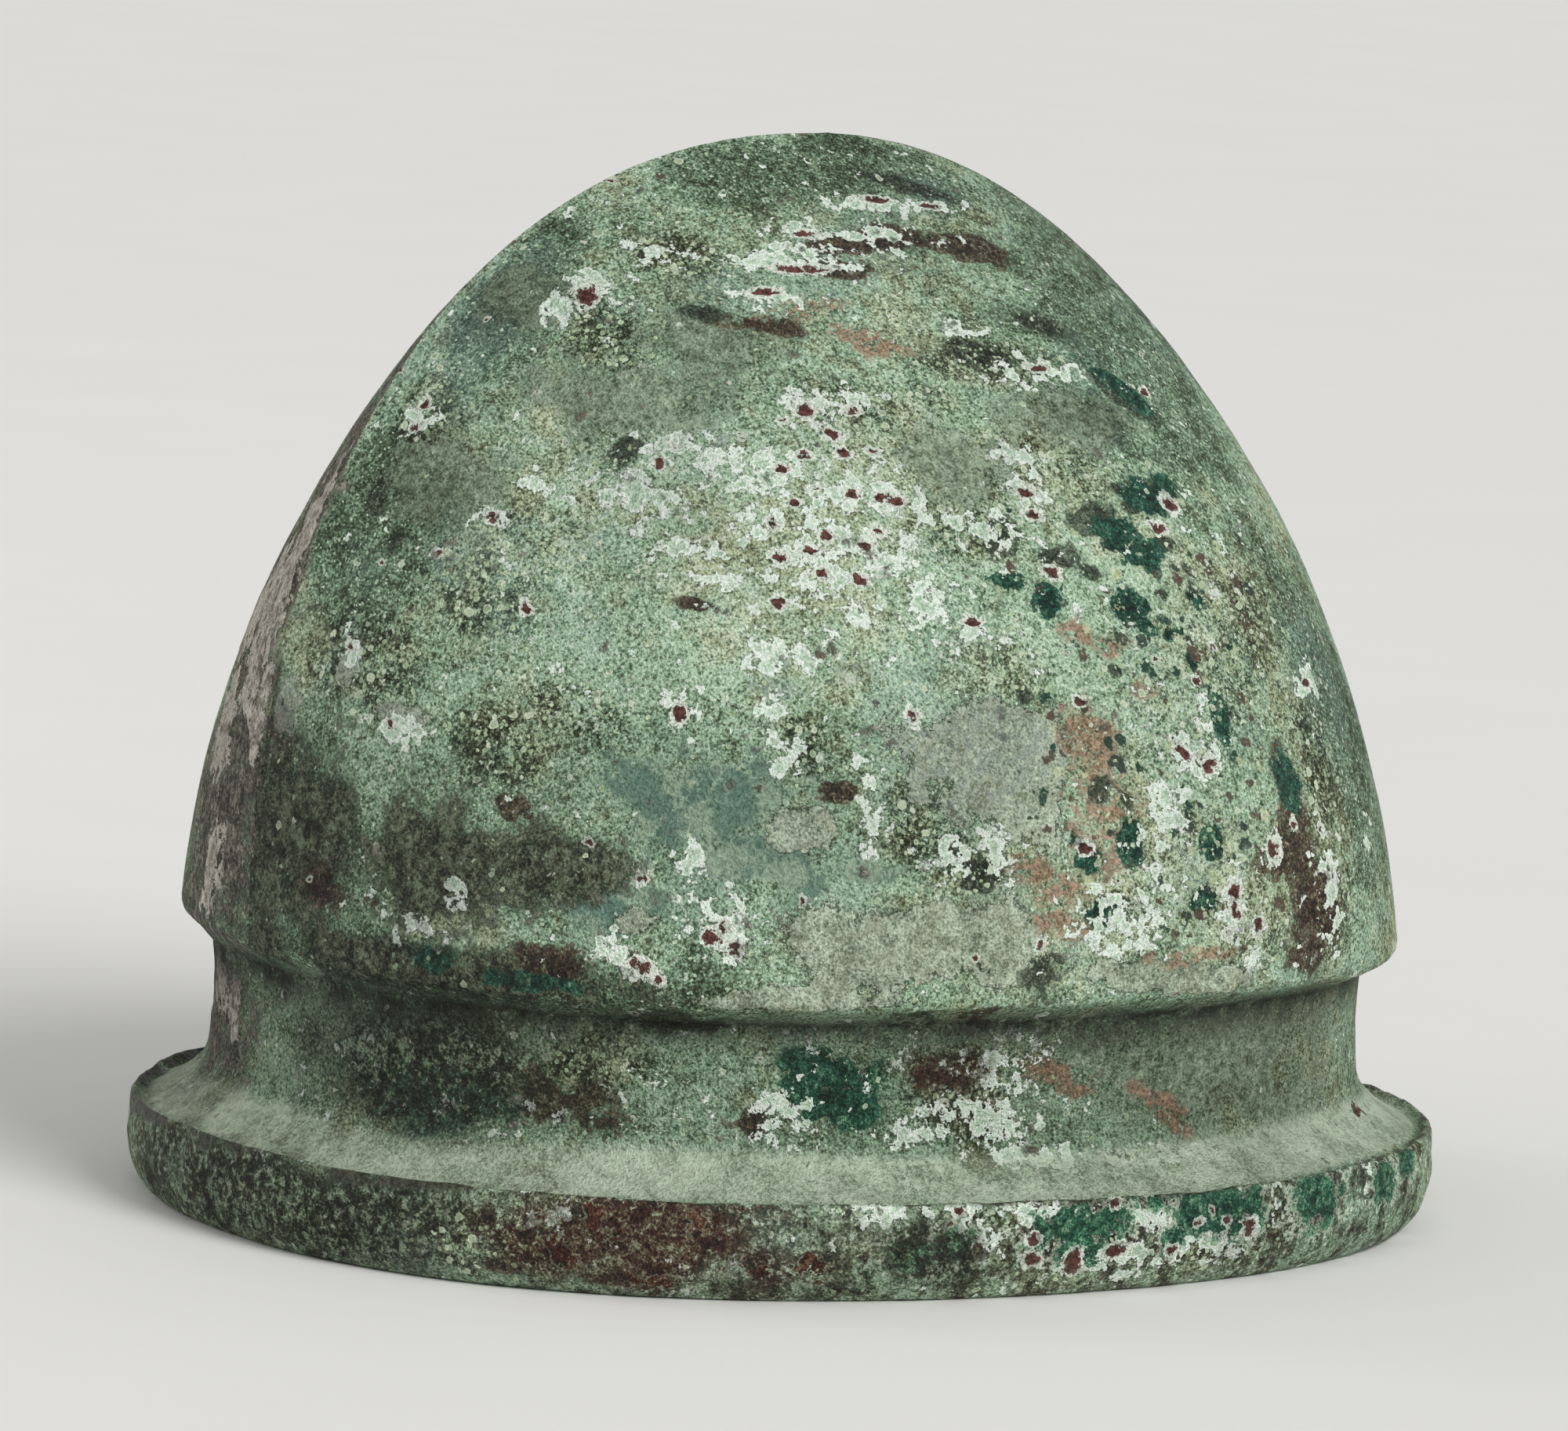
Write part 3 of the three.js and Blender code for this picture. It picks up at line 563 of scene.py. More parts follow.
def lay_map(mesh, columns, capped, bands):
    """Gives the mesh a map of level strips. A band is its rows of quads, strips, bottom and top."""
    places = []
    for rows, strips, bottom, top in bands:
        share = columns // strips
        r, c, corner = np.meshgrid(np.arange(rows), np.arange(columns), np.arange(4), indexing="ij")
        strip = c // share
        across = (c - strip * share + (corner >= 2)) / share
        down = (r + ((corner == 1) | (corner == 2))) / rows
        up = bottom + (top - bottom) * (strip + MAP_STRIP_TOP - MAP_STRIP_HEIGHT * down) / strips
        places.append(np.stack([MAP_EDGE + MAP_WIDTH * across, up], -1).reshape(-1, 2))
    if capped:
        first, last = (bands[0], MAP_FIRST_FAN, (0.5, 0, 1)), (bands[-1], MAP_LAST_FAN, (0.5, 1, 0))
        for (_, strips, bottom, top), heights, order in (first, last):
            share = columns // strips
            c = np.arange(columns)
            strip = c // share
            across = (c - strip * share)[:, None] / share + np.array(order) / share
            up = bottom + (top - bottom) * (strip[:, None] + np.array(heights)) / strips
            places.append(np.stack([MAP_EDGE + MAP_WIDTH * across, up], -1).reshape(-1, 2))
    layer = mesh.uv_layers.new(name="OFBake")
    layer.uv.foreach_set("vector", np.concatenate(places).ravel())


def give(mesh, name, values):
    """Keeps one field on the mesh's points, for the material."""
    mesh.attributes.new(name, "FLOAT", "POINT").data.foreach_set("value", values.astype(np.float32))


def add_object(name, mesh, material):
    """A new object in the scene, made of one material."""
    thing = bpy.data.objects.new(name, mesh)
    bpy.context.scene.collection.objects.link(thing)
    mesh.materials.clear()
    mesh.materials.append(material)
    return thing


def show(thing, node):
    """The piece stands for a CAD node: the node is hidden and the piece joins the root body."""
    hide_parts(node)
    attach(thing, "root")


def make_bowl():
    """The bowl's surface, in two pieces that meet in the crease under the shoulder."""
    skin = Skin()
    masks = regions(skin)
    masks["relief"] = relief(skin, masks)
    skin.grid = skin.grid + skin.normals() * masks["relief"][..., None]
    leans = skin.normals()
    fold, back, rows = sum(skin.counts[:2]), sum(skin.counts[:6]) - 1, len(skin.grid)
    crown = list(range(fold)) + list(range(back, rows))
    brim = list(range(fold - 1, back + 1))
    tips = np.array([[0, WIDEST_Y, APEX_Z - WHOLE_SINK], [0, WIDEST_Y, APEX_Z - RIDGE_WALL]])
    tips[:, 1] = skin.grid[[0, -1]].mean(1)[:, 1]
    upper = grid_mesh("bowl_crown_sheet", skin.grid[crown], tips)
    inner = rows - back - 1
    lay_map(upper, COLUMNS, True, [(fold, 2, 0, MAP_OUTSIDE), (inner, 1, MAP_INSIDE, 1)])
    lower = grid_mesh("bowl_brim_sheet", skin.grid[brim])
    outer = skin.outer_rows - fold
    inner = len(brim) - outer
    lay_map(lower, COLUMNS, False, [(outer, 4, 0, MAP_OUTSIDE), (inner, 1, MAP_INSIDE, 1)])
    material = patina()
    for mesh, part, capped in ((upper, crown, True), (lower, brim, False)):
        for name, values in masks.items():
            ends = [values[0].mean(), values[-1].mean()] if capped else []
            give(mesh, name, np.concatenate([values[part].ravel(), ends]))
        ends = np.array([[0, 0, 1.0], [0, 0, -1.0]]) if capped else np.zeros((0, 3))
        mesh.normals_split_custom_set_from_vertices(np.vstack([leans[part].reshape(-1, 3), ends]))
        show(add_object(mesh.name, mesh, material), "bowl")


# Pieces inside the helmet
def between(first, last, count):
    """Rings in even steps from one ring up to, but without, another."""
    shares = np.arange(count)[:, None, None] / count
    return first[None] * (1 - shares) + last[None] * shares


def turn_out(mesh):
    """Makes a closed mesh's faces point out."""
    shape = bmesh.new()
    shape.from_mesh(mesh)
    bmesh.ops.recalc_face_normals(shape, faces=shape.faces)
    shape.to_mesh(mesh)
    shape.free()
    return mesh


def side_frames(plan, distances, middle=math.pi / 2):
    """Points and outward directions on an oval, at distances along it from the middle of the +X side."""
    line = ring(plan, 0, angles=FINE_ANGLES)[:, :2]
    run = np.r_[0, np.cumsum(np.hypot(*np.diff(line, axis=0).T))]
    at = (np.interp(middle, FINE_ANGLES, run) + np.asarray(distances, float)) % run[-1]
    angle = np.interp(at, run, FINE_ANGLES)
    turns = (0, -SMALL_TURN, SMALL_TURN)
    here, before, after = (ring(plan, 0, angles=angle + more)[:, :2] for more in turns)
    ahead = after - before
    ahead /= np.hypot(*ahead.T)[:, None]
    return here, np.stack([ahead[:, 1], -ahead[:, 0]], 1)


def cut_holes(thing, places, radius, sides):
    """Cuts round holes across the collar at (point, outward direction, height)."""
    shape = bmesh.new()
    for (x, y), (ox, oy), z in places:
        out = Vector((ox, oy, 0))
        stand = out.to_track_quat("Z", "Y").to_matrix().to_4x4()
        where = Matrix.Translation(Vector((x, y, z)) * MM) @ stand
        sizes = {"radius1": radius * MM, "radius2": radius * MM, "depth": 2 * CUT_REACH * MM}
        bmesh.ops.create_cone(shape, cap_ends=True, segments=sides, matrix=where, **sizes)
    mesh = bpy.data.meshes.new("cutter")
    shape.to_mesh(mesh)
    shape.free()
    cutter = bpy.data.objects.new("cutter", mesh)
    bpy.context.scene.collection.objects.link(cutter)
    change = thing.modifiers.new("holes", "BOOLEAN")
    change.operation, change.solver, change.object = "DIFFERENCE", "EXACT", cutter
    settle(thing)
    bpy.data.objects.remove(cutter)
    bpy.data.meshes.remove(mesh)


def settle(thing):
    """Turns a piece's modifiers into its mesh."""
    bpy.context.view_layer.update()
    done = bpy.data.meshes.new_from_object(thing.evaluated_get(bpy.context.evaluated_depsgraph_get()))
    old = thing.data
    thing.modifiers.clear()
    thing.data = done
    bpy.data.meshes.remove(old)


def soften(thing, width, angle):
    """Rounds a piece's sharp edges."""
    change = thing.modifiers.new("edges", "BEVEL")
    change.width, change.segments = width * MM, 2
    change.limit_method, change.angle_limit = "ANGLE", math.radians(angle)
    settle(thing)


def shade_by_angle(mesh, angle=35):
    mesh.polygons.foreach_set("use_smooth", np.ones(len(mesh.polygons), bool))
    mesh.set_sharp_from_angle(angle=math.radians(angle))


COLLAR_OUTER, COLLAR_INNER = inset(NECK, COLLAR_GAP), inset(NECK, COLLAR_GAP + COLLAR_WALL)
RIVET_DISTANCE = BRIDGE_HALF_SPAN + BRIDGE_RAMP + BRIDGE_FOOT / 2


def rivet_places():
    """Where the rivets of each side go through the collar: point, outward direction and height."""
    points, outs = side_frames(COLLAR_INNER, [-RIVET_DISTANCE, RIVET_DISTANCE])
    right = [(tuple(p), tuple(o), RIVET_Z) for p, o in zip(points, outs)]
    left = [((-x, y), (-ox, oy), z) for (x, y), (ox, oy), z in right]
    return {"right": right, "left": left}


def make_ring():
    """The ring under the brim, with its collar, a worn top edge and the row of stitch holes."""
    seat = lower_plan(SEAT_OUT)
    corners = [
        (COLLAR_OUTER, COLLAR_TOP_Z, 20), (COLLAR_OUTER, FLANGE_TOP_Z, 12), (seat, FLANGE_TOP_Z, 1),
        (seat, FLANGE_Z, 12), (inset(COLLAR_INNER, -COLLAR_BEND), FLANGE_Z, 2),
        (COLLAR_INNER, FLANGE_Z + COLLAR_BEND, 20), (COLLAR_INNER, COLLAR_TOP_Z, 1),
    ]
    keys = [ring(plan, z) for plan, z, _ in corners]
    counts = [count for _, _, count in corners]
    grid = np.concatenate([between(a, b, n) for a, b, n in zip(keys, keys[1:] + keys[:1], counts)])
    worn = waves(grid * [1, 1, 0], *COLLAR_WAVES) - COLLAR_SINK
    grid[..., 2] += worn * step(grid[..., 2], COLLAR_TOP_Z - 6, COLLAR_TOP_Z)
    dent = waves(grid, *DENT_WAVES)
    centre = np.array([0, WIDEST_Y, 0])
    out = (grid - centre) * [1, 1, 0]
    out /= np.linalg.norm(out, axis=2, keepdims=True)
    collar = step(grid[..., 2], FLANGE_TOP_Z, FLANGE_TOP_Z + 8)
    grid += out * (dent * collar)[..., None]
    mesh = turn_out(grid_mesh("lining_ring_sheet", grid))
    thing = add_object(mesh.name, mesh, ring_patina())
    soften(thing, RING_ROUNDING, 55)
    fine = ring(COLLAR_INNER, 0, angles=FINE_ANGLES)[:, :2]
    total = np.hypot(*(np.roll(fine, -1, 0) - fine).T).sum()
    distances = total * (np.arange(STITCH_HOLES) + 0.5) / STITCH_HOLES
    points, outs = side_frames(COLLAR_INNER, distances, 0.0)
    wander = np.random.default_rng(STITCH_SEED).uniform(-STITCH_WANDER, STITCH_WANDER, STITCH_HOLES)
    holes = [(p, o, STITCH_Z + w) for p, o, w in zip(points, outs, wander)]
    cut_holes(thing, holes, STITCH_RADIUS, STITCH_SIDES)
    rivets = rivet_places()
    cut_holes(thing, rivets["right"] + rivets["left"], RIVET_SHANK / 2 + FIT_GAP, HOLE_SIDES)
    shade_by_angle(thing.data)
    return thing


def make_solder():
    """A lumpy bead of soft solder in the corner over the ring's outer edge."""
    wall_out = np.interp([high for _, high in BEAD_SHARES], *WALL_BULGE)
    rows = []
    for (share, high), more in zip(BEAD_SHARES, wall_out):
        z = BEAD_Z + BEAD_HEIGHT * high
        rows.append(ring(lower_plan(SEAT_OUT + BEAD_GAP + more - BEAD_WIDTH * share), z))
    grid = np.array(rows)
    size = BEAD_SIZE + waves(grid.mean(0), *BEAD_WAVES)
    corner = grid[BEAD_CORNER][None]
    grid = corner + (grid - corner) * size[None, :, None]
    mesh = turn_out(grid_mesh("solder_bead", grid))
    thing = add_object(mesh.name, mesh, solder_grey())
    shade_by_angle(thing.data, 50)
    return thing


def make_bridge(side):
    """A strip on the collar, with its middle lifted to pass the chin strap."""
    half = BRIDGE_HALF_SPAN + BRIDGE_RAMP + BRIDGE_FOOT
    distance = np.linspace(-half, half, BRIDGE_COLUMNS)
    points, outs = side_frames(COLLAR_INNER, distance)
    climb = np.clip((BRIDGE_HALF_SPAN + BRIDGE_RAMP - np.abs(distance)) / BRIDGE_RAMP, 0, 1)
    lift = FIT_GAP + (BRIDGE_ROOM - FIT_GAP) * climb * climb * (3 - 2 * climb)
    across = np.linspace(0, 1, BRIDGE_ROWS + 1)
    sheets = []
    for wall in (0, BRIDGE_WALL):
        line = points - outs * (lift + wall)[:, None]
        sheets.append([[(x, y, BRIDGE_Z + BRIDGE_WIDTH * w) for x, y in line] for w in across])
    loop = np.array(sheets[0] + sheets[1][::-1])
    shape = bmesh.new()
    rows = [[shape.verts.new(Vector(p) * MM) for p in row] for row in loop]
    for i in range(len(rows)):
        upper, lower = rows[i], rows[(i + 1) % len(rows)]
        for j in range(len(upper) - 1):
            shape.faces.new((upper[j], upper[j + 1], lower[j + 1], lower[j]))
    for j in (0, -1):
        for i in range(BRIDGE_ROWS):
            shape.faces.new((rows[i][j], rows[i + 1][j], rows[-2 - i][j], rows[-1 - i][j]))
    bmesh.ops.recalc_face_normals(shape, faces=shape.faces)
    mesh = bpy.data.meshes.new(f"strap_bridge_{side}_strip")
    shape.to_mesh(mesh)
    shape.free()
    if side == "left":
        mesh.transform(Matrix.Diagonal((-1, 1, 1, 1)))
        mesh.flip_normals()
    thing = add_object(mesh.name, mesh, fitting_bronze())
    soften(thing, BRIDGE_ROUNDING, 60)
    cut_holes(thing, rivet_places()[side], RIVET_SHANK / 2 + FIT_GAP, HOLE_SIDES)
    shade_by_angle(thing.data)
    return thing


def rivet_profile():
    """The rivet from its tail's middle to its head's, as (radius, distance out from the collar)."""
    tail, head = COLLAR_WALL + FIT_GAP, -(2 * FIT_GAP + BRIDGE_WALL)
    profile = [(RIVET_TAIL / 2 * r, tail + RIVET_TAIL_HEIGHT * h) for r, h in RIVET_TAIL_SHARES]
    profile += [(RIVET_SHANK / 2, tail), (RIVET_SHANK / 2, head)]
    profile.append((RIVET_HEAD / 2 * HEAD_FOOT_SHARE, head))
    for turn in np.linspace(0, math.pi / 2, DOME_RINGS):
        dome = RIVET_HEAD_HEIGHT * (DOME_FOOT_SHARE + (1 - DOME_FOOT_SHARE) * math.sin(turn))
        profile.append((RIVET_HEAD / 2 * math.cos(turn), head - dome))
    return profile


def make_rivet(side, end, place, seed):
    """A domed head on the strap side, the shank and a hammered tail behind the collar."""
    chance = np.random.default_rng(seed)
    turn = np.arange(RIVET_SIDES) * 2 * math.pi / RIVET_SIDES
    uneven = np.full(RIVET_SIDES, RIVET_EVEN_SHARE)
    for lobes in (2, 3):
        uneven -= RIVET_WOBBLE * np.sin(turn * lobes + chance.uniform(0, 6))
    (px, py), (ox, oy), z = place
    shape = bmesh.new()
    rows = []
    for radius, out in rivet_profile():
        wide = radius * (uneven if radius > RIVET_SHANK / 2 else 1)
        flat, high = wide * np.cos(turn), wide * np.sin(turn)
        points = np.stack([px + ox * out - oy * flat, py + oy * out + ox * flat, z + high], 1)
        rows.append([shape.verts.new(Vector(p) * MM) for p in points])
    for upper, lower in zip(rows, rows[1:]):
        for j in range(RIVET_SIDES):
            k = (j + 1) % RIVET_SIDES
            shape.faces.new((upper[j], upper[k], lower[k], lower[j]))
    bmesh.ops.remove_doubles(shape, verts=shape.verts, dist=0.005 * MM)
    bmesh.ops.recalc_face_normals(shape, faces=shape.faces)
    mesh = bpy.data.meshes.new(f"rivet_{side}_{end}_hammered")
    shape.to_mesh(mesh)
    shape.free()
    thing = add_object(mesh.name, mesh, fitting_bronze())
    shade_by_angle(thing.data, 50)
    return thing


# Materials, made of nodes
def colour(text):
    """A written colour such as 8a9b7c as the linear one that nodes take."""
    parts = [int(text[i : i + 2], 16) / 255 for i in (0, 2, 4)]
    return [p / 12.92 if p <= 0.04045 else ((p + 0.055) / 1.055) ** 2.4 for p in parts] + [1.0]


class Graph:
    """A short way to write a material's nodes."""

    def __init__(self, name, roughness=0.8, specular=0.35):
        self.material = bpy.data.materials.new(name)
        self.material.use_nodes = True
        self.tree = self.material.node_tree
        self.shader = self.tree.nodes["Principled BSDF"]
        self.shader.inputs["Specular IOR Level"].default_value = specular
        self.shader.inputs["Roughness"].default_value = roughness
        self.place = self.tree.nodes.new("ShaderNodeTexCoord").outputs["Object"]

    def put(self, socket, value):
        if isinstance(value, bpy.types.NodeSocket):
            self.tree.links.new(value, socket)
        elif isinstance(value, str):
            socket.default_value = colour(value)
        else:
            socket.default_value = value

    def value(self, name):
        node = self.tree.nodes.new("ShaderNodeAttribute")
        node.attribute_name = name
        return node.outputs["Fac"]

    def noise(self, size, detail=2.0, rough=0.55, place=None, turn=None, output="Fac"):
        """Noise with blots of about that size in millimetres. Another turn gives another pattern."""
        node = self.tree.nodes.new("ShaderNodeTexNoise")
        if turn is not None:
            node.noise_dimensions = "4D"
            self.put(node.inputs["W"], turn)
        self.put(node.inputs["Vector"], place or self.place)
        self.put(node.inputs["Scale"], 1 / (size * MM))
        self.put(node.inputs["Detail"], detail)
        self.put(node.inputs["Roughness"], rough)
        return node.outputs[output]

    def vector(self, kind, a, b):
        node = self.tree.nodes.new("ShaderNodeVectorMath")
        node.operation = kind
        self.put(node.inputs[0], a)
        self.put(node.inputs[1], b)
        return node.outputs[0]

    def curdled(self, size, far):
        """The place, pushed about by noise, so that shapes get curled edges."""
        push = self.vector("SUBTRACT", self.noise(size, 3, 0.6, output="Color"), (0.5, 0.5, 0.5))
        return self.vector("ADD", self.place, self.vector("MULTIPLY", push, (far * MM * 3,) * 3))

    def off(self, value, factor):
        """How far a value is from a half, times a factor."""
        return self.calc("MULTIPLY", self.calc("SUBTRACT", value, 0.5), factor)

    def cells(self, size, place=None):
        """How far each place is from the middle of its cell, and the cell's three random values."""
        node = self.tree.nodes.new("ShaderNodeTexVoronoi")
        self.put(node.inputs["Vector"], place or self.place)
        self.put(node.inputs["Scale"], 1 / (size * MM))
        return node.outputs["Distance"], self.parts(node.outputs["Color"])

    def parts(self, value):
        """The three parts of a colour."""
        node = self.tree.nodes.new("ShaderNodeSeparateColor")
        self.put(node.inputs[0], value)
        return list(node.outputs)[:3]

    def calc(self, kind, a, b=0.0):
        node = self.tree.nodes.new("ShaderNodeMath")
        node.operation = kind
        self.put(node.inputs[0], a)
        self.put(node.inputs[1], b)
        return node.outputs[0]

    def add(self, *terms):
        """A sum of values, each given alone or as (value, factor)."""
        total = None
        for term in terms:
            value = self.calc("MULTIPLY", *term) if isinstance(term, tuple) else term
            total = value if total is None else self.calc("ADD", total, value)
        return total

    def step(self, value, low, high, start=0.0, end=1.0):
        node = self.tree.nodes.new("ShaderNodeMapRange")
        node.interpolation_type = "SMOOTHSTEP"
        names = ("Value", "From Min", "From Max", "To Min", "To Max")
        for name, number in zip(names, (value, low, high, start, end)):
            self.put(node.inputs[name], number)
        return node.outputs["Result"]

    def mix(self, share, a, b, blend="MIX"):
        node = self.tree.nodes.new("ShaderNodeMix")
        node.data_type = "RGBA"
        node.blend_type = blend
        self.put(node.inputs[0], share)
        self.put(node.inputs[6], a)
        self.put(node.inputs[7], b)
        return node.outputs[2]

    def ramp(self, value, *stops):
        node = self.tree.nodes.new("ShaderNodeValToRGB")
        bar = node.color_ramp
        while len(bar.elements) < len(stops):
            bar.elements.new(0.5)
        for element, (place, text) in zip(bar.elements, stops):
            element.position = place
            element.color = colour(text)
        self.put(node.inputs[0], value)
        return node.outputs[0]

    def finish(self, base, height=None, depth=0.4, roughness=None):
        self.put(self.shader.inputs["Base Color"], base)
        if roughness is not None:
            self.put(self.shader.inputs["Roughness"], roughness)
        if height is not None:
            bump = self.tree.nodes.new("ShaderNodeBump")
            bump.inputs["Distance"].default_value = depth * MM
            self.put(bump.inputs["Height"], height)
            self.tree.links.new(bump.outputs[0], self.shader.inputs["Normal"])
        return self.material


class Patina(Graph):
    """The bowl's material. All its layers share these noises, so that they belong together."""

    def __init__(self):
        super().__init__("bowl_patina")
        self.curd, self.soft = self.curdled(5.5, 2.0), self.curdled(2.6, 0.5)
        self.broad, self.drift = self.noise(46, 3), self.noise(17, 4)
        self.blot = self.noise(6.5, 4, 0.6, self.curd)
        self.other = self.noise(4.2, 4, 0.62, self.curd, turn=3.0)
        self.lump, self.speck = self.noise(2.4, 4, 0.62, self.soft), self.noise(1.0, 3, 0.7)
        self.grit = self.noise(0.5, 2, 0.65)
        self.worn = self.step(self.speck, 0.35, 0.65)
        covered = self.calc("MAXIMUM", self.value("inside"), self.value("dust"))
        self.outside = self.calc("SUBTRACT", 1.0, covered)
        self.base = None

    def stir(self, start=0.0, **noises):
        """A value and how far each named noise is from a half, times the factor given with it."""
        return self.add(start, *[self.off(getattr(self, name), factor) for name, factor in noises.items()])

    def area(self, name, low=-0.08, high=0.1, loose=1.0):
        """1 in the patches of a kind and 0 elsewhere, with a ragged edge."""
        ragged = self.stir(blot=2.6 * loose, lump=2.0 * loose, speck=loose)
        return self.step(self.add(self.value(name), ragged), low, high)

    def mottled(self, size, *stops, tone=0.5):
        value = self.stir(tone, lump=1.2 * size, speck=size, blot=0.5 * size, grit=0.5 * size)
        return self.ramp(value, *stops)

    def dots(self, size, share, least, most, place=None, ragged=0.0):
        """Round granules in a share of the cells, with how deep inside one each place is, and its tint."""
        far, chance = self.cells(size, place or self.soft)
        radius = self.add((chance[1], most - least), least)
        depth = self.calc("SUBTRACT", radius, far)
        depth = self.stir(depth, speck=0.18, lump=ragged)
        there = self.calc("LESS_THAN", chance[0], share)
        return self.calc("MULTIPLY", self.step(depth, -0.03, 0.04), there), depth, chance[2], there

    def both(self, a, b):
        return self.calc("MULTIPLY", a, b)

    def lay(self, share, paint, blend="MIX"):
        """Lays one more layer over the others."""
        self.base = self.mix(share, self.base, paint, blend)


def lay_ground(g):
    """Grey green and olive ground, darker and grainier in the granule areas."""
    # The pale and dull patches lighten and darken the ground: partly its own tone, partly painted light and
    # painted shade
    g.pale, g.dull = g.step(g.value("pale"), -0.7, 0.5), g.step(g.value("dull"), -0.45, 0.5)
    g.grains = g.step(g.stir(g.value("granule"), drift=1.6, blot=1.4), -0.45, 0.35)
    g.tone = g.add((g.pale, 0.09), (g.dull, -0.18))
    g.level = g.stir(g.add(0.6, g.tone), drift=0.4, blot=0.5, lump=0.65, speck=0.85, grit=0.8)
    grainy = g.both(g.grains, g.stir(g.add(-0.18, (g.pale, 0.13)), other=1.2, speck=0.5))
    g.level = g.add(g.level, grainy, (g.step(g.value("mint"), -0.6, 0.6), 0.02))
    green = g.ramp(
        g.level, (0.1, "1f281c"), (0.28, "3c4b35"), (0.42, "5f735a"), (0.52, "7b9679"), (0.62, "97b696"),
        (0.74, "b3d1b2"), (0.92, "e2f4df"),
    )
    olive = g.ramp(
        g.level, (0.1, "23271a"), (0.28, "434833"), (0.42, "6a7053"), (0.52, "889372"), (0.62, "a6b38e"),
        (0.74, "c8d5b0"), (0.92, "eaf3d8"),
    )
    # Browner in the dull patches, partly painted shade
    browner = g.step(g.add((g.broad, 0.45), (g.blot, 0.45), (g.grains, -0.05), (g.dull, 0.1)), 0.34, 0.48)
    g.base = g.mix(browner, olive, green)
    g.lay(g.step(g.noise(30, 3, turn=1.0), 0.52, 0.66, 0, 0.35), g.mix(g.level, "45655a", "a9c9bd"))
    crumbs = g.dots(0.8, g.add((g.pale, 0.25), 0.25, g.off(g.blot, 0.8)), 0.2, 0.5)
    g.lay(g.both(crumbs[0], 0.8), g.mix(crumbs[2], g.mix(g.level, "8fae8a", "c9e3c4"), "e2f4da"))
    pits = g.dots(0.9, g.add(0.3, g.off(g.other, 0.8), (g.grains, 0.15)), 0.15, 0.45, g.place)
    g.lay(g.both(pits[0], 0.75), g.mix(g.level, "141a10", "55664b"))


def lay_sheets(g):
    """Smooth teal, plain grey, rough brown and flaked areas."""
    g.teal = g.both(g.area("teal", -0.35, 0.35), 0.9)
    cloud = g.add((g.noise(9, 3, 0.5, g.curd), 0.8), (g.speck, 0.2))
    light = g.mix(g.worn, "849c86", "a8bea4")
    g.lay(g.teal, g.mix(g.step(cloud, 0.45, 0.56), g.mix(g.worn, "547566", "6f907f"), light))
    g.rough = g.area("rough", -0.3, 0.15)
    paint = g.mottled(
        1.1, (0.2, "24261c"), (0.38, "404335"), (0.5, "596049"), (0.6, "6c775f"), (0.74, "879478"),
        (0.92, "aebb9c"),
    )
    g.lay(g.rough, paint)
    g.plain = g.area("plain", -0.4, 0.3)
    # Plain areas lighter in the pale patches and darker in the dull ones, partly painted light and painted
    # shade
    tone = g.add(0.52, (g.pale, 0.16), (g.dull, -0.12))
    paint = g.mottled(
        0.75, (0.2, "3c4838"), (0.4, "627059"), (0.54, "7d8d76"), (0.7, "9cae94"), (0.92, "c6d8bd"),
        tone=tone,
    )
    g.lay(g.both(g.plain, 0.85), paint)
    g.flake = g.area("flake", -0.03, 0.05, 0.55)
    value = g.stir(0.5, blot=1.0, lump=0.9, speck=1.0, grit=0.9, drift=0.6)
    stone = g.ramp(
        value, (0.2, "667460"), (0.4, "8b9b83"), (0.53, "a8b59f"), (0.66, "bdcbb2"), (0.88, "daead0"),
    )
    g.lay(g.both(g.flake, 0.92), g.mix(g.step(g.other, 0.44, 0.64, 0, 0.4), stone, "8d8c74"))
    bluish = g.both(g.area("bluegrey", -0.4, 0.4), g.step(g.lump, 0.45, 0.6, 0.1, 0.6))
    g.lay(bluish, g.mix(g.worn, "6b7b77", "9daba3"))
    # Painted shadow: a thin dark line along the edges of the flakes
    edge = g.both(g.flake, g.calc("SUBTRACT", 1.0, g.flake))
    g.lay(g.step(edge, 0.08, 0.25, 0, 0.8), "2c2d23")


def lay_stains(g):
    """Orange stains, black, brown and emerald minerals."""
    broken = g.step(g.stir(lump=1.2, other=1.0, speck=0.6), -0.12, 0.02)
    orange = g.both(g.area("orange", -0.25, 0.2), broken)
    g.lay(g.both(orange, 0.74), g.mix(g.worn, "74533e", "b9896f"))
    black = g.area("darkgreen", -0.1, 0.12)
    paint = g.mottled(1.0, (0.25, "12170f"), (0.5, "2a3325"), (0.66, "4d5a48"), (0.82, "8b9d84"))
    g.lay(g.both(black, 0.9), paint)
    g.brown = g.area("brown", -0.1, 0.15)
    paint = g.mottled(
        1.0, (0.2, "150d0a"), (0.4, "2c1c16"), (0.54, "433026"), (0.68, "64573f"), (0.87, "99a184"),
    )
    g.lay(g.both(g.brown, 0.95), paint)
    g.emerald, g.emerald_rim = g.area("emerald", -0.04, 0.05, 0.9), g.area("emerald", -0.28, 0.12, 0.9)
    deep = g.mottled(
        1.1, (0.2, "081a15"), (0.42, "12382c"), (0.58, "205643"), (0.74, "41765d"), (0.92, "8fb796"),
    )
    clear = g.mottled(
        1.2, (0.18, "0b231a"), (0.38, "184834"), (0.54, "29664b"), (0.7, "558d6a"), (0.9, "a8cda9"),
    )
    g.lay(g.emerald, g.mix(g.add(g.value("rim"), (g.value("neck"), 0.5)), deep, clear))


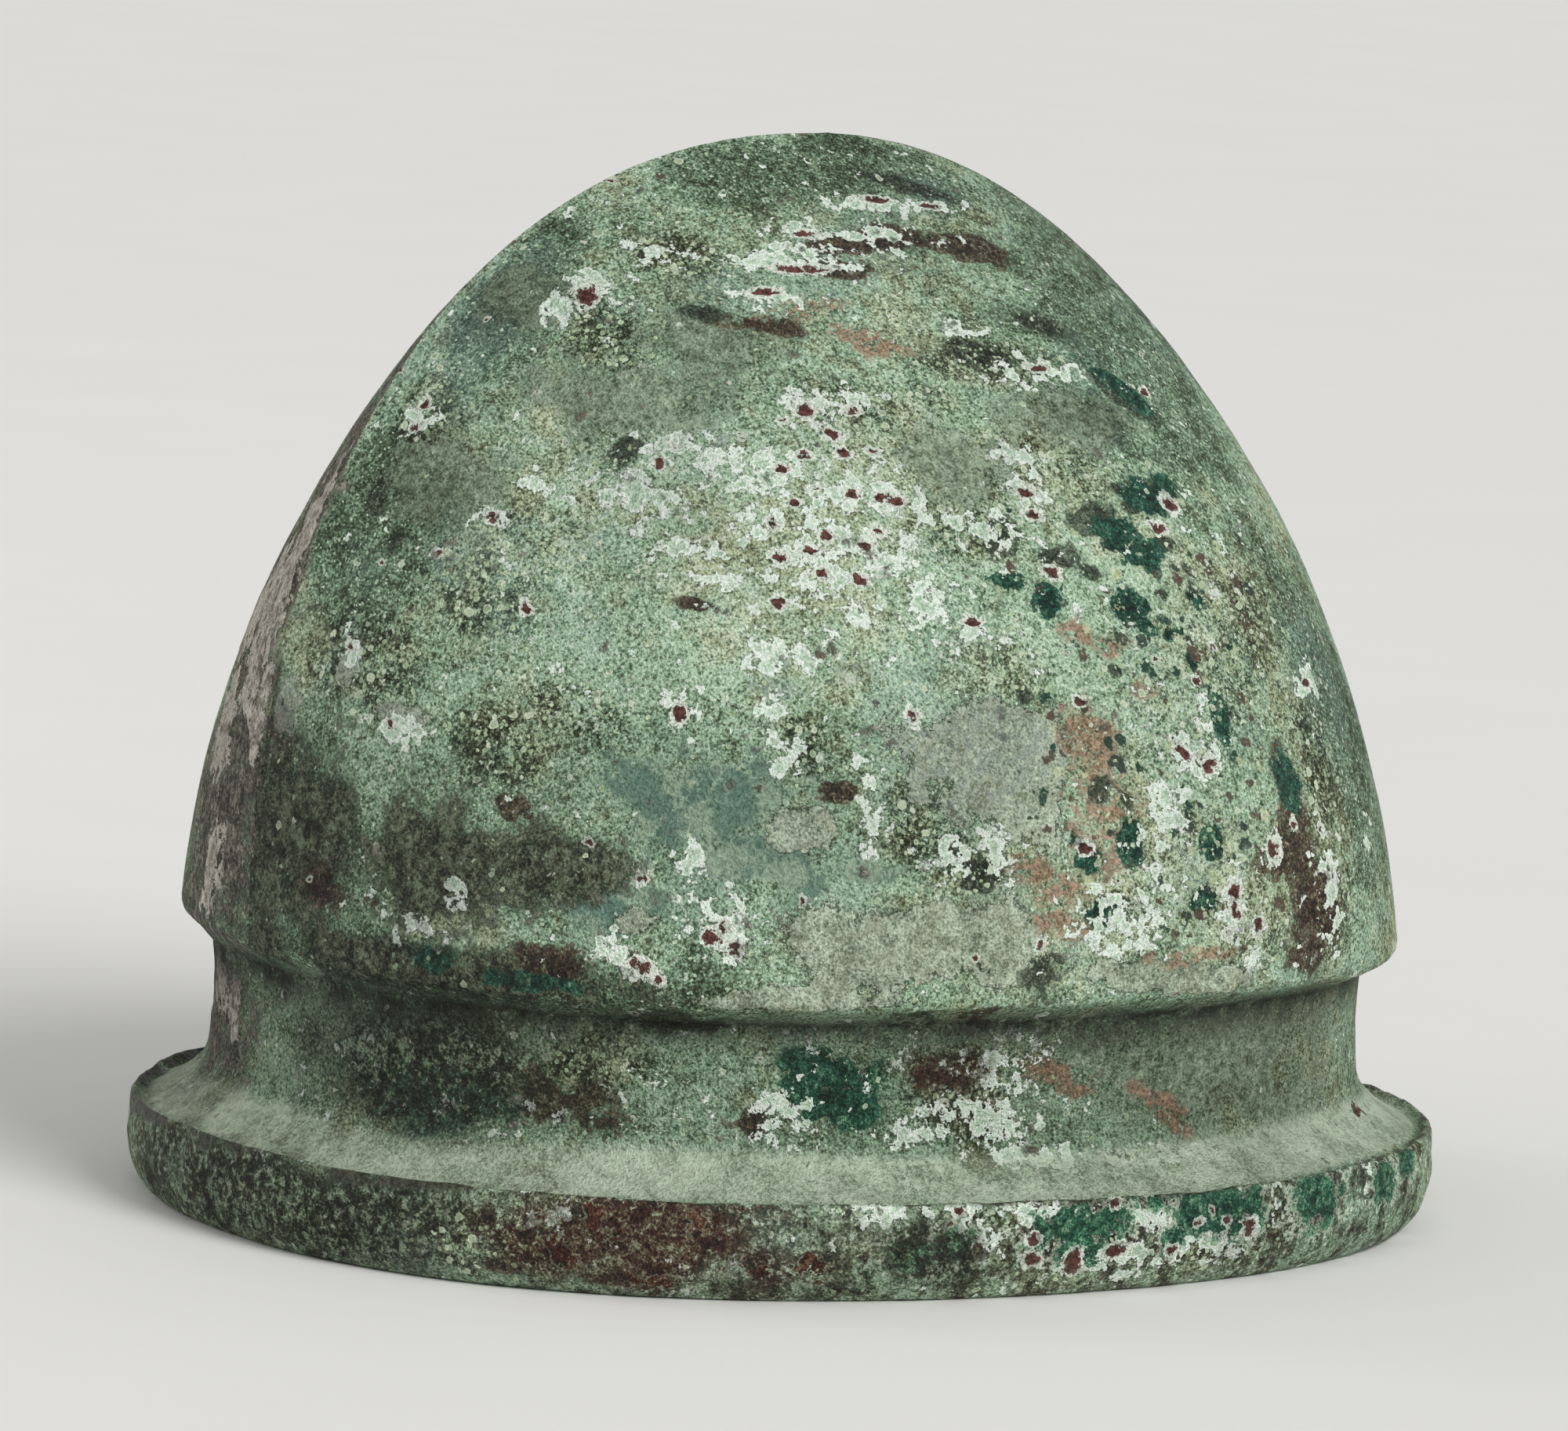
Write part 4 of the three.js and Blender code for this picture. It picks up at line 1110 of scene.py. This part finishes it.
def lay_mosaic(g):
    """Crisp dark and coloured minerals, a few millimetres wide, close together in the mosaic areas."""
    where = g.step(g.add(g.value("mosaic"), g.off(g.drift, 1.2)), -0.7, 0.3)
    stones = g.dots(4.0, g.both(where, 0.8), 0.1, 0.42, g.curd, 1.0)
    stony = g.mix(g.step(stones[2], 0.62, 0.66), "33403a", "5d4a3e")
    dark = g.mix(g.step(stones[2], 0.3, 0.34), "1f4436", stony)
    share = g.both(stones[0], g.step(g.lump, 0.3, 0.45, 0.7, 0.95))
    g.lay(share, g.mix(g.step(g.speck, 0.54, 0.72), dark, "8ba58a"))
    pale = g.dots(3.1, g.both(where, 0.4), 0.1, 0.4, g.curd, 0.7)
    g.lay(g.both(pale[0], 0.7), g.mix(g.worn, "b7c493", "dfe8c0"))


def lay_granules(g):
    """Pale granules, close together in their areas and rare elsewhere."""
    smooth = g.calc("MAXIMUM", g.calc("MAXIMUM", g.flake, g.teal), g.both(g.plain, 0.7))
    glassy = g.calc("MAXIMUM", g.both(g.emerald_rim, g.value("rim")), g.both(g.brown, 0.8))
    smooth = g.calc("MAXIMUM", smooth, glassy)
    bare = g.both(g.calc("SUBTRACT", 1.0, smooth), g.outside)
    share = g.both(g.add((g.grains, 0.42), 0.05, g.off(g.other, 0.5)), bare)
    small, depth, tint, _ = g.dots(1.15, g.both(share, 1.35), 0.16, 0.52, ragged=0.5)
    # Granules darker in the dull patches, partly painted shade
    paint = g.mix(g.dull, g.mix(tint, "abc598", "ddf2c9"), g.mix(tint, "7d9c78", "bcd4b2"))
    faint = g.both(g.step(small, 0.0, 0.2), 0.6)
    g.lay(g.step(g.calc("ABSOLUTE", g.add(depth, 0.05)), 0.07, 0.02, 0, faint), "39432f")
    g.lay(small, g.mix(g.step(depth, 0.1, 0.3, 0, 0.5), paint, g.mix(tint, "6f8566", "a9c09d")))
    large, depth, tint, _ = g.dots(2.3, share, 0.16, 0.42, ragged=0.6)
    g.lay(large, g.mix(g.step(depth, 0.04, 0.2), "e6f3d8", g.mix(tint, "9db38c", "d6e6c4")))
    g.granules = g.calc("MAXIMUM", small, large)


def lay_crusts(g):
    """White crusts with curled edges, and small red pits with white rings."""
    field = g.noise(2.9, 3, 0.55, g.soft, turn=7.0)
    smooth = g.calc("MAXIMUM", g.calc("MAXIMUM", g.flake, g.teal), g.calc("MAXIMUM", g.plain, g.rough))
    off = g.both(smooth, g.step(g.value("mint"), 0.15, -0.15))
    curl = g.stir(g.add((g.value("mint"), 0.35), 0.47, (off, -0.4), g.off(field, 2.7)), blot=0.7, speck=0.45)
    fine = g.both(g.value("neck"), g.off(g.speck, 1.0))
    curl = g.add(curl, (g.both(g.emerald, g.value("rim")), -0.4), (fine, 0.9))
    share = g.both(g.step(curl, 0.36, 0.75), g.outside)
    beads = g.dots(1.5, share, 0.22, 0.5)
    g.crust = g.calc("MAXIMUM", g.step(curl, 0.6, 0.635), beads[0])
    heart = g.step(curl, 0.84, 0.92, 0, 0.75)
    white = g.mix(g.step(g.grit, 0.34, 0.5), "bfe2bf", "f6fff4")
    edge = g.both(g.step(curl, 0.55, 0.6), g.calc("SUBTRACT", 1.0, g.crust))
    g.lay(g.both(edge, 0.65), "3f4d38")
    vein = g.both(g.both(g.emerald_rim, g.calc("SUBTRACT", 1.0, g.emerald_rim)), g.value("rim"))
    vein = g.both(g.step(vein, 0.04, 0.14), g.step(g.other, 0.36, 0.46))
    g.lay(vein, g.mix(g.worn, "b9cfae", "eef7e4"))
    g.lay(g.crust, g.mix(heart, white, g.mix(g.worn, "8db08e", "cfe8cc")))
    near = g.stir(g.value("spot"), lump=1.7, speck=1.0)
    halo = g.both(g.step(near, 0.0, 0.08), g.step(g.other, 0.34, 0.46, 0.35, 1))
    g.lay(halo, g.mix(g.step(g.grit, 0.36, 0.56), "c0cfb9", "f4fbee"))
    g.lay(g.step(near, 0.42, 0.47), "35201b")
    g.lay(g.step(near, 0.46, 0.56), g.mix(g.worn, "3e1f1b", "80534a"))
    far, chance = g.cells(8.0, g.curd)
    far = g.add(far, g.off(g.speck, 0.2))
    rare = g.both(g.calc("LESS_THAN", chance[0], 0.22), g.outside)
    g.lay(g.both(g.step(far, 0.13, 0.11), rare), "cfdac6")
    g.lay(g.both(g.step(far, 0.07, 0.055), rare), "5f302a")


def lay_edges(g):
    """The bare ridge with painted highlight on its scales, painted shade and shadow under the shoulder, on
    the neck and in recesses, the brim's dust, lip and wall, and the dark inside.
    """
    g.keel = g.area("bare", -0.3, 0.25, 1.2)
    paint = g.mottled(
        1.3, (0.2, "211e18"), (0.38, "443e34"), (0.52, "675f52"), (0.68, "8a8273"), (0.88, "b8b09f"),
    )
    g.lay(g.both(g.keel, g.step(g.other, 0.32, 0.5, 0.55, 0.95)), paint)
    # Raised scales by the ridge, painted pale as a painted highlight, with a dark line of painted shadow
    # along their edges
    g.scale = g.area("scale", -0.03, 0.06, 1.0)
    g.lay(g.scale, g.mottled(1.1, (0.22, "7d766a"), (0.44, "b1aa9c"), (0.6, "d2ccbe"), (0.85, "f0ece1")))
    line = g.both(g.scale, g.calc("SUBTRACT", 1.0, g.scale))
    g.lay(g.step(line, 0.08, 0.25, 0, 0.7), "2b261f")
    worn = g.step(g.stir(drift=1.0, blot=0.6, speck=0.5), -0.25, 0.05, 0.45, 0.95)
    cloud = g.add((g.blot, 0.4), (g.drift, 0.2), (g.speck, 0.4))
    g.lay(g.both(g.value("dust"), worn), g.mix(g.step(cloud, 0.36, 0.62), "929f88", "d2e1c8"))
    paint = g.mottled(
        1.2, (0.15, "1b1612"), (0.36, "373026"), (0.5, "54503d"), (0.64, "75806a"), (0.8, "9fb394"),
        (0.95, "d5e5cb"),
    )
    cover = g.both(g.value("rim"), g.step(g.stir(blot=1.2, lump=0.8), -0.22, 0.12, 0.85, 0.2))
    bare = g.calc("SUBTRACT", 1.0, g.calc("MAXIMUM", g.calc("MAXIMUM", g.crust, g.emerald), g.granules))
    g.lay(g.both(cover, bare), paint)
    patchy = g.stir(lump=1.4, speck=1.2, blot=0.9)
    # Painted shadow: dark patches laid where shade falls on the neck, the brim and under the shoulder
    painted_shadow = g.both(g.area("painted_shadow", -0.5, 0.3, 0.6), g.step(patchy, -0.1, 0.3, 0.93, 0.35))
    g.lay(painted_shadow, g.mottled(1.0, (0.2, "12140e"), (0.42, "282c1e"), (0.6, "424833"), (0.8, "6c7458")))
    rust = g.both(g.area("rust", -0.5, 0.3, 0.6), g.step(patchy, -0.05, 0.25, 0.95, 0.2))
    paint = g.mottled(
        1.1, (0.2, "1b100d"), (0.42, "3a231b"), (0.56, "55392b"), (0.7, "6e5c46"), (0.85, "98977a"),
    )
    g.lay(rust, paint)
    clots = g.dots(6.5, g.both(rust, 1.1), 0.15, 0.45, g.curd, 1.0)
    g.lay(g.both(g.step(clots[1], -0.06, -0.03, 0, 0.55), clots[3]), g.mix(g.worn, "6f7a5f", "b5c1a3"))
    g.lay(clots[0], g.mottled(1.1, (0.25, "1d0f0b"), (0.48, "44231a"), (0.66, "643e2e"), (0.84, "8a7a5e")))
    g.lip = g.both(g.value("lip"), g.step(g.stir(blot=1.5, drift=1.0), -0.15, 0.05))
    g.lay(g.lip, g.mix(g.worn, "1f1d15", "575a43"))
    # Painted shade: a dark band in the crease under the shoulder's overhang
    crease = g.both(g.value("crease"), g.step(g.stir(blot=1.5, lump=1.0, speck=0.8), -0.2, 0.1, 0.35, 0.95))
    g.lay(crease, g.mix(g.worn, "16180f", "3a3c2c"))
    # Painted shade: the whole neck darkened a little under the shoulder's overhang
    g.lay(g.both(g.value("neck"), g.add(0.2, (g.crust, -0.2), (g.plain, -0.16))), "20281c")
    tone = g.stir(0.5, broad=0.8, blot=1.2, lump=0.8, speck=0.6)
    paint = g.ramp(
        tone, (0.2, "2b2f23"), (0.42, "4f553f"), (0.55, "6a664b"), (0.68, "768a6e"), (0.88, "a5b79c"),
    )
    g.lay(g.value("inside"), paint)
    # Painted shade: the colour is darker where the relief sinks, in pits and hollows
    g.lay(1.0, g.mix(g.step(g.value("relief"), -0.8, -0.1, 0.7, 1.0), "000000", "ffffff"), "MULTIPLY")


def patina():
    """The bowl's patina: crusts, granules, spots and flakes over a grey green ground."""
    g = Patina()
    lay_ground(g)
    lay_sheets(g)
    lay_stains(g)
    lay_mosaic(g)
    lay_granules(g)
    lay_crusts(g)
    lay_edges(g)
    height = g.add(
        (g.level, 0.6), (g.speck, 0.3), (g.grit, 0.25), (g.crust, 0.4), (g.lump, 0.3),
        (g.both(g.granules, g.outside), 0.35),
    )
    height = g.add(
        height, (g.both(g.rough, g.lump), 2.6), (g.both(g.rough, g.speck), 1.2),
        (g.both(g.plain, g.lump), 0.9), (g.both(g.flake, g.lump), 1.2), (g.both(g.keel, g.lump), 2.0),
        (g.scale, 0.4), g.both(g.value("neck"), g.add((g.lump, 1.3), (g.speck, 0.7))),
    )
    polish = g.add((g.emerald, 0.35), (g.keel, 0.25), (g.lip, 0.9), (g.teal, 0.3), (g.brown, 0.3))
    return g.finish(g.base, height, 0.85, g.step(polish, 0, 1, 0.88, 0.42))


def ring_patina():
    """Olive patina with green spots and some bare bronze, for the lining ring."""
    g = Graph("ring_patina", 0.8)
    curd = g.curdled(5.5, 2.0)
    broad, blot = g.noise(32, 3), g.noise(6.0, 4, 0.6, curd)
    lump, speck, grit = g.noise(2.4, 4, 0.62, curd), g.noise(1.0, 3, 0.7), g.noise(0.45, 2)
    level = g.add(0.5, g.off(broad, 0.6), g.off(blot, 1.0), g.off(lump, 0.9), g.off(speck, 0.8))
    base = g.ramp(
        level, (0.15, "272a1d"), (0.34, "474a34"), (0.48, "63684c"), (0.6, "7b8a69"), (0.74, "9bb08c"),
        (0.92, "cfe0c4"),
    )
    metal = g.step(g.add(g.off(blot, 1.2), g.off(lump, 0.8)), 0.05, 0.16, 0, 0.8)
    base = g.mix(metal, base, g.mix(g.step(speck, 0.35, 0.65), "4b3b27", "836b47"))
    green = g.step(g.add(g.off(g.noise(9, 4, 0.6, curd, turn=4.0), 1.5), g.off(speck, 0.5)), 0.1, 0.2)
    base = g.mix(green, base, g.mix(g.step(lump, 0.35, 0.65), "2a5a43", "6f9c7c"))
    height = g.add((level, 0.8), (speck, 0.4), (grit, 0.2))
    return g.finish(base, height, 0.35, g.step(metal, 0, 1, 0.85, 0.55))


@functools.cache
def fitting_bronze():
    """Brown bronze with green in it. The bridges and the rivets share one material."""
    g = Graph("fitting_bronze", 0.6)
    blot, lump, speck = g.noise(4.0, 4), g.noise(1.6, 4, 0.62), g.noise(0.6, 3, 0.7)
    level = g.add(0.5, g.off(blot, 1.1), g.off(lump, 1.0), g.off(speck, 0.8))
    base = g.ramp(
        level, (0.2, "2c2417"), (0.38, "54452b"), (0.5, "74623d"), (0.6, "6d7753"), (0.75, "8da581"),
        (0.92, "c3d8b8"),
    )
    height = g.add((level, 0.8), (speck, 0.4))
    return g.finish(base, height, 0.2, g.step(level, 0.35, 0.6, 0.48, 0.85))


def solder_grey():
    """Dull grey solder with a green tinge in places."""
    g = Graph("solder", 0.65)
    blot, lump, speck = g.noise(5.0, 4), g.noise(2.0, 4, 0.62), g.noise(0.7, 3, 0.7)
    level = g.add(0.5, g.off(blot, 1.2), g.off(lump, 1.0), g.off(speck, 0.8))
    base = g.ramp(
        level, (0.2, "3b3b36"), (0.42, "6c6c66"), (0.56, "8b8b84"), (0.72, "b3b3a8"), (0.9, "d9d8cc"),
    )
    base = g.mix(g.step(g.noise(7, 4, turn=2.0), 0.54, 0.64, 0, 0.6), base, "6f8a70")
    return g.finish(base, g.add((level, 0.8), (speck, 0.3)), 0.25, g.step(level, 0.3, 0.7, 0.5, 0.85))


# The camera, floor and light
CAMERA_TURN, CAMERA_RISE, CAMERA_ROLL = 58.75, 6.88, 2.48
CAMERA_FAR, CAMERA_AIM_Z, SENSOR_WIDTH, PIXELS_PER_MM = 1866.12, 100, 36, 6.86
PICTURE_WIDTH, PICTURE_HEIGHT = 2000, 1825
MIDDLE_X, MIDDLE_Y = 1029.11, 848.91
AIR_LIGHT, BACKDROP = 0.45, "dbdad8"
KEY_STRENGTH, KEY_TOWARD, KEY_SPREAD = 2.05, (1.0, 0.12, 0.62), math.radians(28)
RIM_POWER, RIM_PLACE, RIM_TARGET, RIM_SIZE = 5, (-1.3, -1.3, 0.5), (0, 0, 0.1), 0.5
FLOOR_REACH, CLIP_RANGE = 12, (0.05, 60)


def make_camera():
    """The photograph's camera. Its lens points a little beside the helmet's middle."""
    turn, rise, roll = (math.radians(a) for a in (CAMERA_TURN, CAMERA_RISE, CAMERA_ROLL))
    back = Vector((math.sin(turn) * math.cos(rise), -math.cos(turn) * math.cos(rise), math.sin(rise)))
    right = Vector((math.cos(turn), math.sin(turn), 0))
    up = back.cross(right)
    side = math.cos(roll) * right + math.sin(roll) * up
    top = -math.sin(roll) * right + math.cos(roll) * up
    aim = Vector((0, WIDEST_Y, CAMERA_AIM_Z))
    place = aim + back * CAMERA_FAR
    aim -= side * ((MIDDLE_X - PICTURE_WIDTH / 2) / PIXELS_PER_MM)
    aim -= top * ((PICTURE_HEIGHT / 2 - MIDDLE_Y) / PIXELS_PER_MM)
    ahead = (place - aim).normalized()
    side = (side - ahead * side.dot(ahead)).normalized()
    top = ahead.cross(side)
    data = bpy.data.cameras.new("camera")
    data.sensor_width = SENSOR_WIDTH
    data.lens = PIXELS_PER_MM * CAMERA_FAR * data.sensor_width / PICTURE_WIDTH
    data.clip_start, data.clip_end = CLIP_RANGE
    camera = bpy.data.objects.new("camera", data)
    bpy.context.scene.collection.objects.link(camera)
    camera.matrix_world = Matrix.Translation(place * MM) @ Matrix((side, top, ahead)).transposed().to_4x4()
    bpy.context.scene.camera = camera


def area_light(name, place, target, size, power):
    data = bpy.data.lights.new(name, "AREA")
    data.shape = "DISK"
    data.size = size
    data.energy = power
    light = bpy.data.objects.new(name, data)
    bpy.context.scene.collection.objects.link(light)
    light.location = place
    light.rotation_euler = (Vector(target) - Vector(place)).to_track_quat("-Z", "Y").to_euler()


def key_light(toward, strength):
    """One large soft light for the object and the floor alike."""
    data = bpy.data.lights.new("key", "SUN")
    data.energy = strength
    data.angle = KEY_SPREAD
    light = bpy.data.objects.new("key", data)
    bpy.context.scene.collection.objects.link(light)
    light.rotation_euler = (-Vector(toward)).to_track_quat("-Z", "Y").to_euler()


def make_world():
    """Even light from all sides, with a plain pale backdrop for the camera."""
    world = bpy.data.worlds.new("studio")
    bpy.context.scene.world = world
    world.use_nodes = True
    tree = world.node_tree
    tree.nodes.clear()
    out = tree.nodes.new("ShaderNodeOutputWorld")
    light, seen = tree.nodes.new("ShaderNodeBackground"), tree.nodes.new("ShaderNodeBackground")
    light.inputs["Color"].default_value = colour("ffffff")
    light.inputs["Strength"].default_value = AIR_LIGHT
    seen.inputs["Color"].default_value = colour(BACKDROP)
    mix, path = tree.nodes.new("ShaderNodeMixShader"), tree.nodes.new("ShaderNodeLightPath")
    tree.links.new(path.outputs["Is Camera Ray"], mix.inputs[0])
    tree.links.new(light.outputs[0], mix.inputs[1])
    tree.links.new(seen.outputs[0], mix.inputs[2])
    tree.links.new(mix.outputs[0], out.inputs[0])


def make_floor():
    mesh = bpy.data.meshes.new("floor")
    corners = [(FLOOR_REACH * x, FLOOR_REACH * y, 0) for x, y in ((-1, -1), (1, -1), (1, 1), (-1, 1))]
    mesh.from_pydata(corners, [], [(0, 1, 2, 3)])
    g = Graph("floor_paper", 0.9, 0.1)
    paper = g.mix(g.noise(90, 2), "f2f1ee", "f6f5f2")
    floor = add_object("floor", mesh, g.finish(paper, g.noise(2, 2), 0.05))


make_camera()
make_world()
make_floor()
key_light(KEY_TOWARD, KEY_STRENGTH)
area_light("rim", RIM_PLACE, RIM_TARGET, RIM_SIZE, RIM_POWER)
make_bowl()
show(make_ring(), "lining_ring")
show(make_solder(), "ring_solder")
for side, places in rivet_places().items():
    show(make_bridge(side), f"strap_bridge_{side}")
    for end, place in zip(("front", "back"), places):
        rivet = make_rivet(side, end, place, RIVET_SEED + len(bpy.data.objects))
        show(rivet, f"strap_rivet_{side}_{end}")

bpy.context.scene.view_settings.view_transform = "Standard"
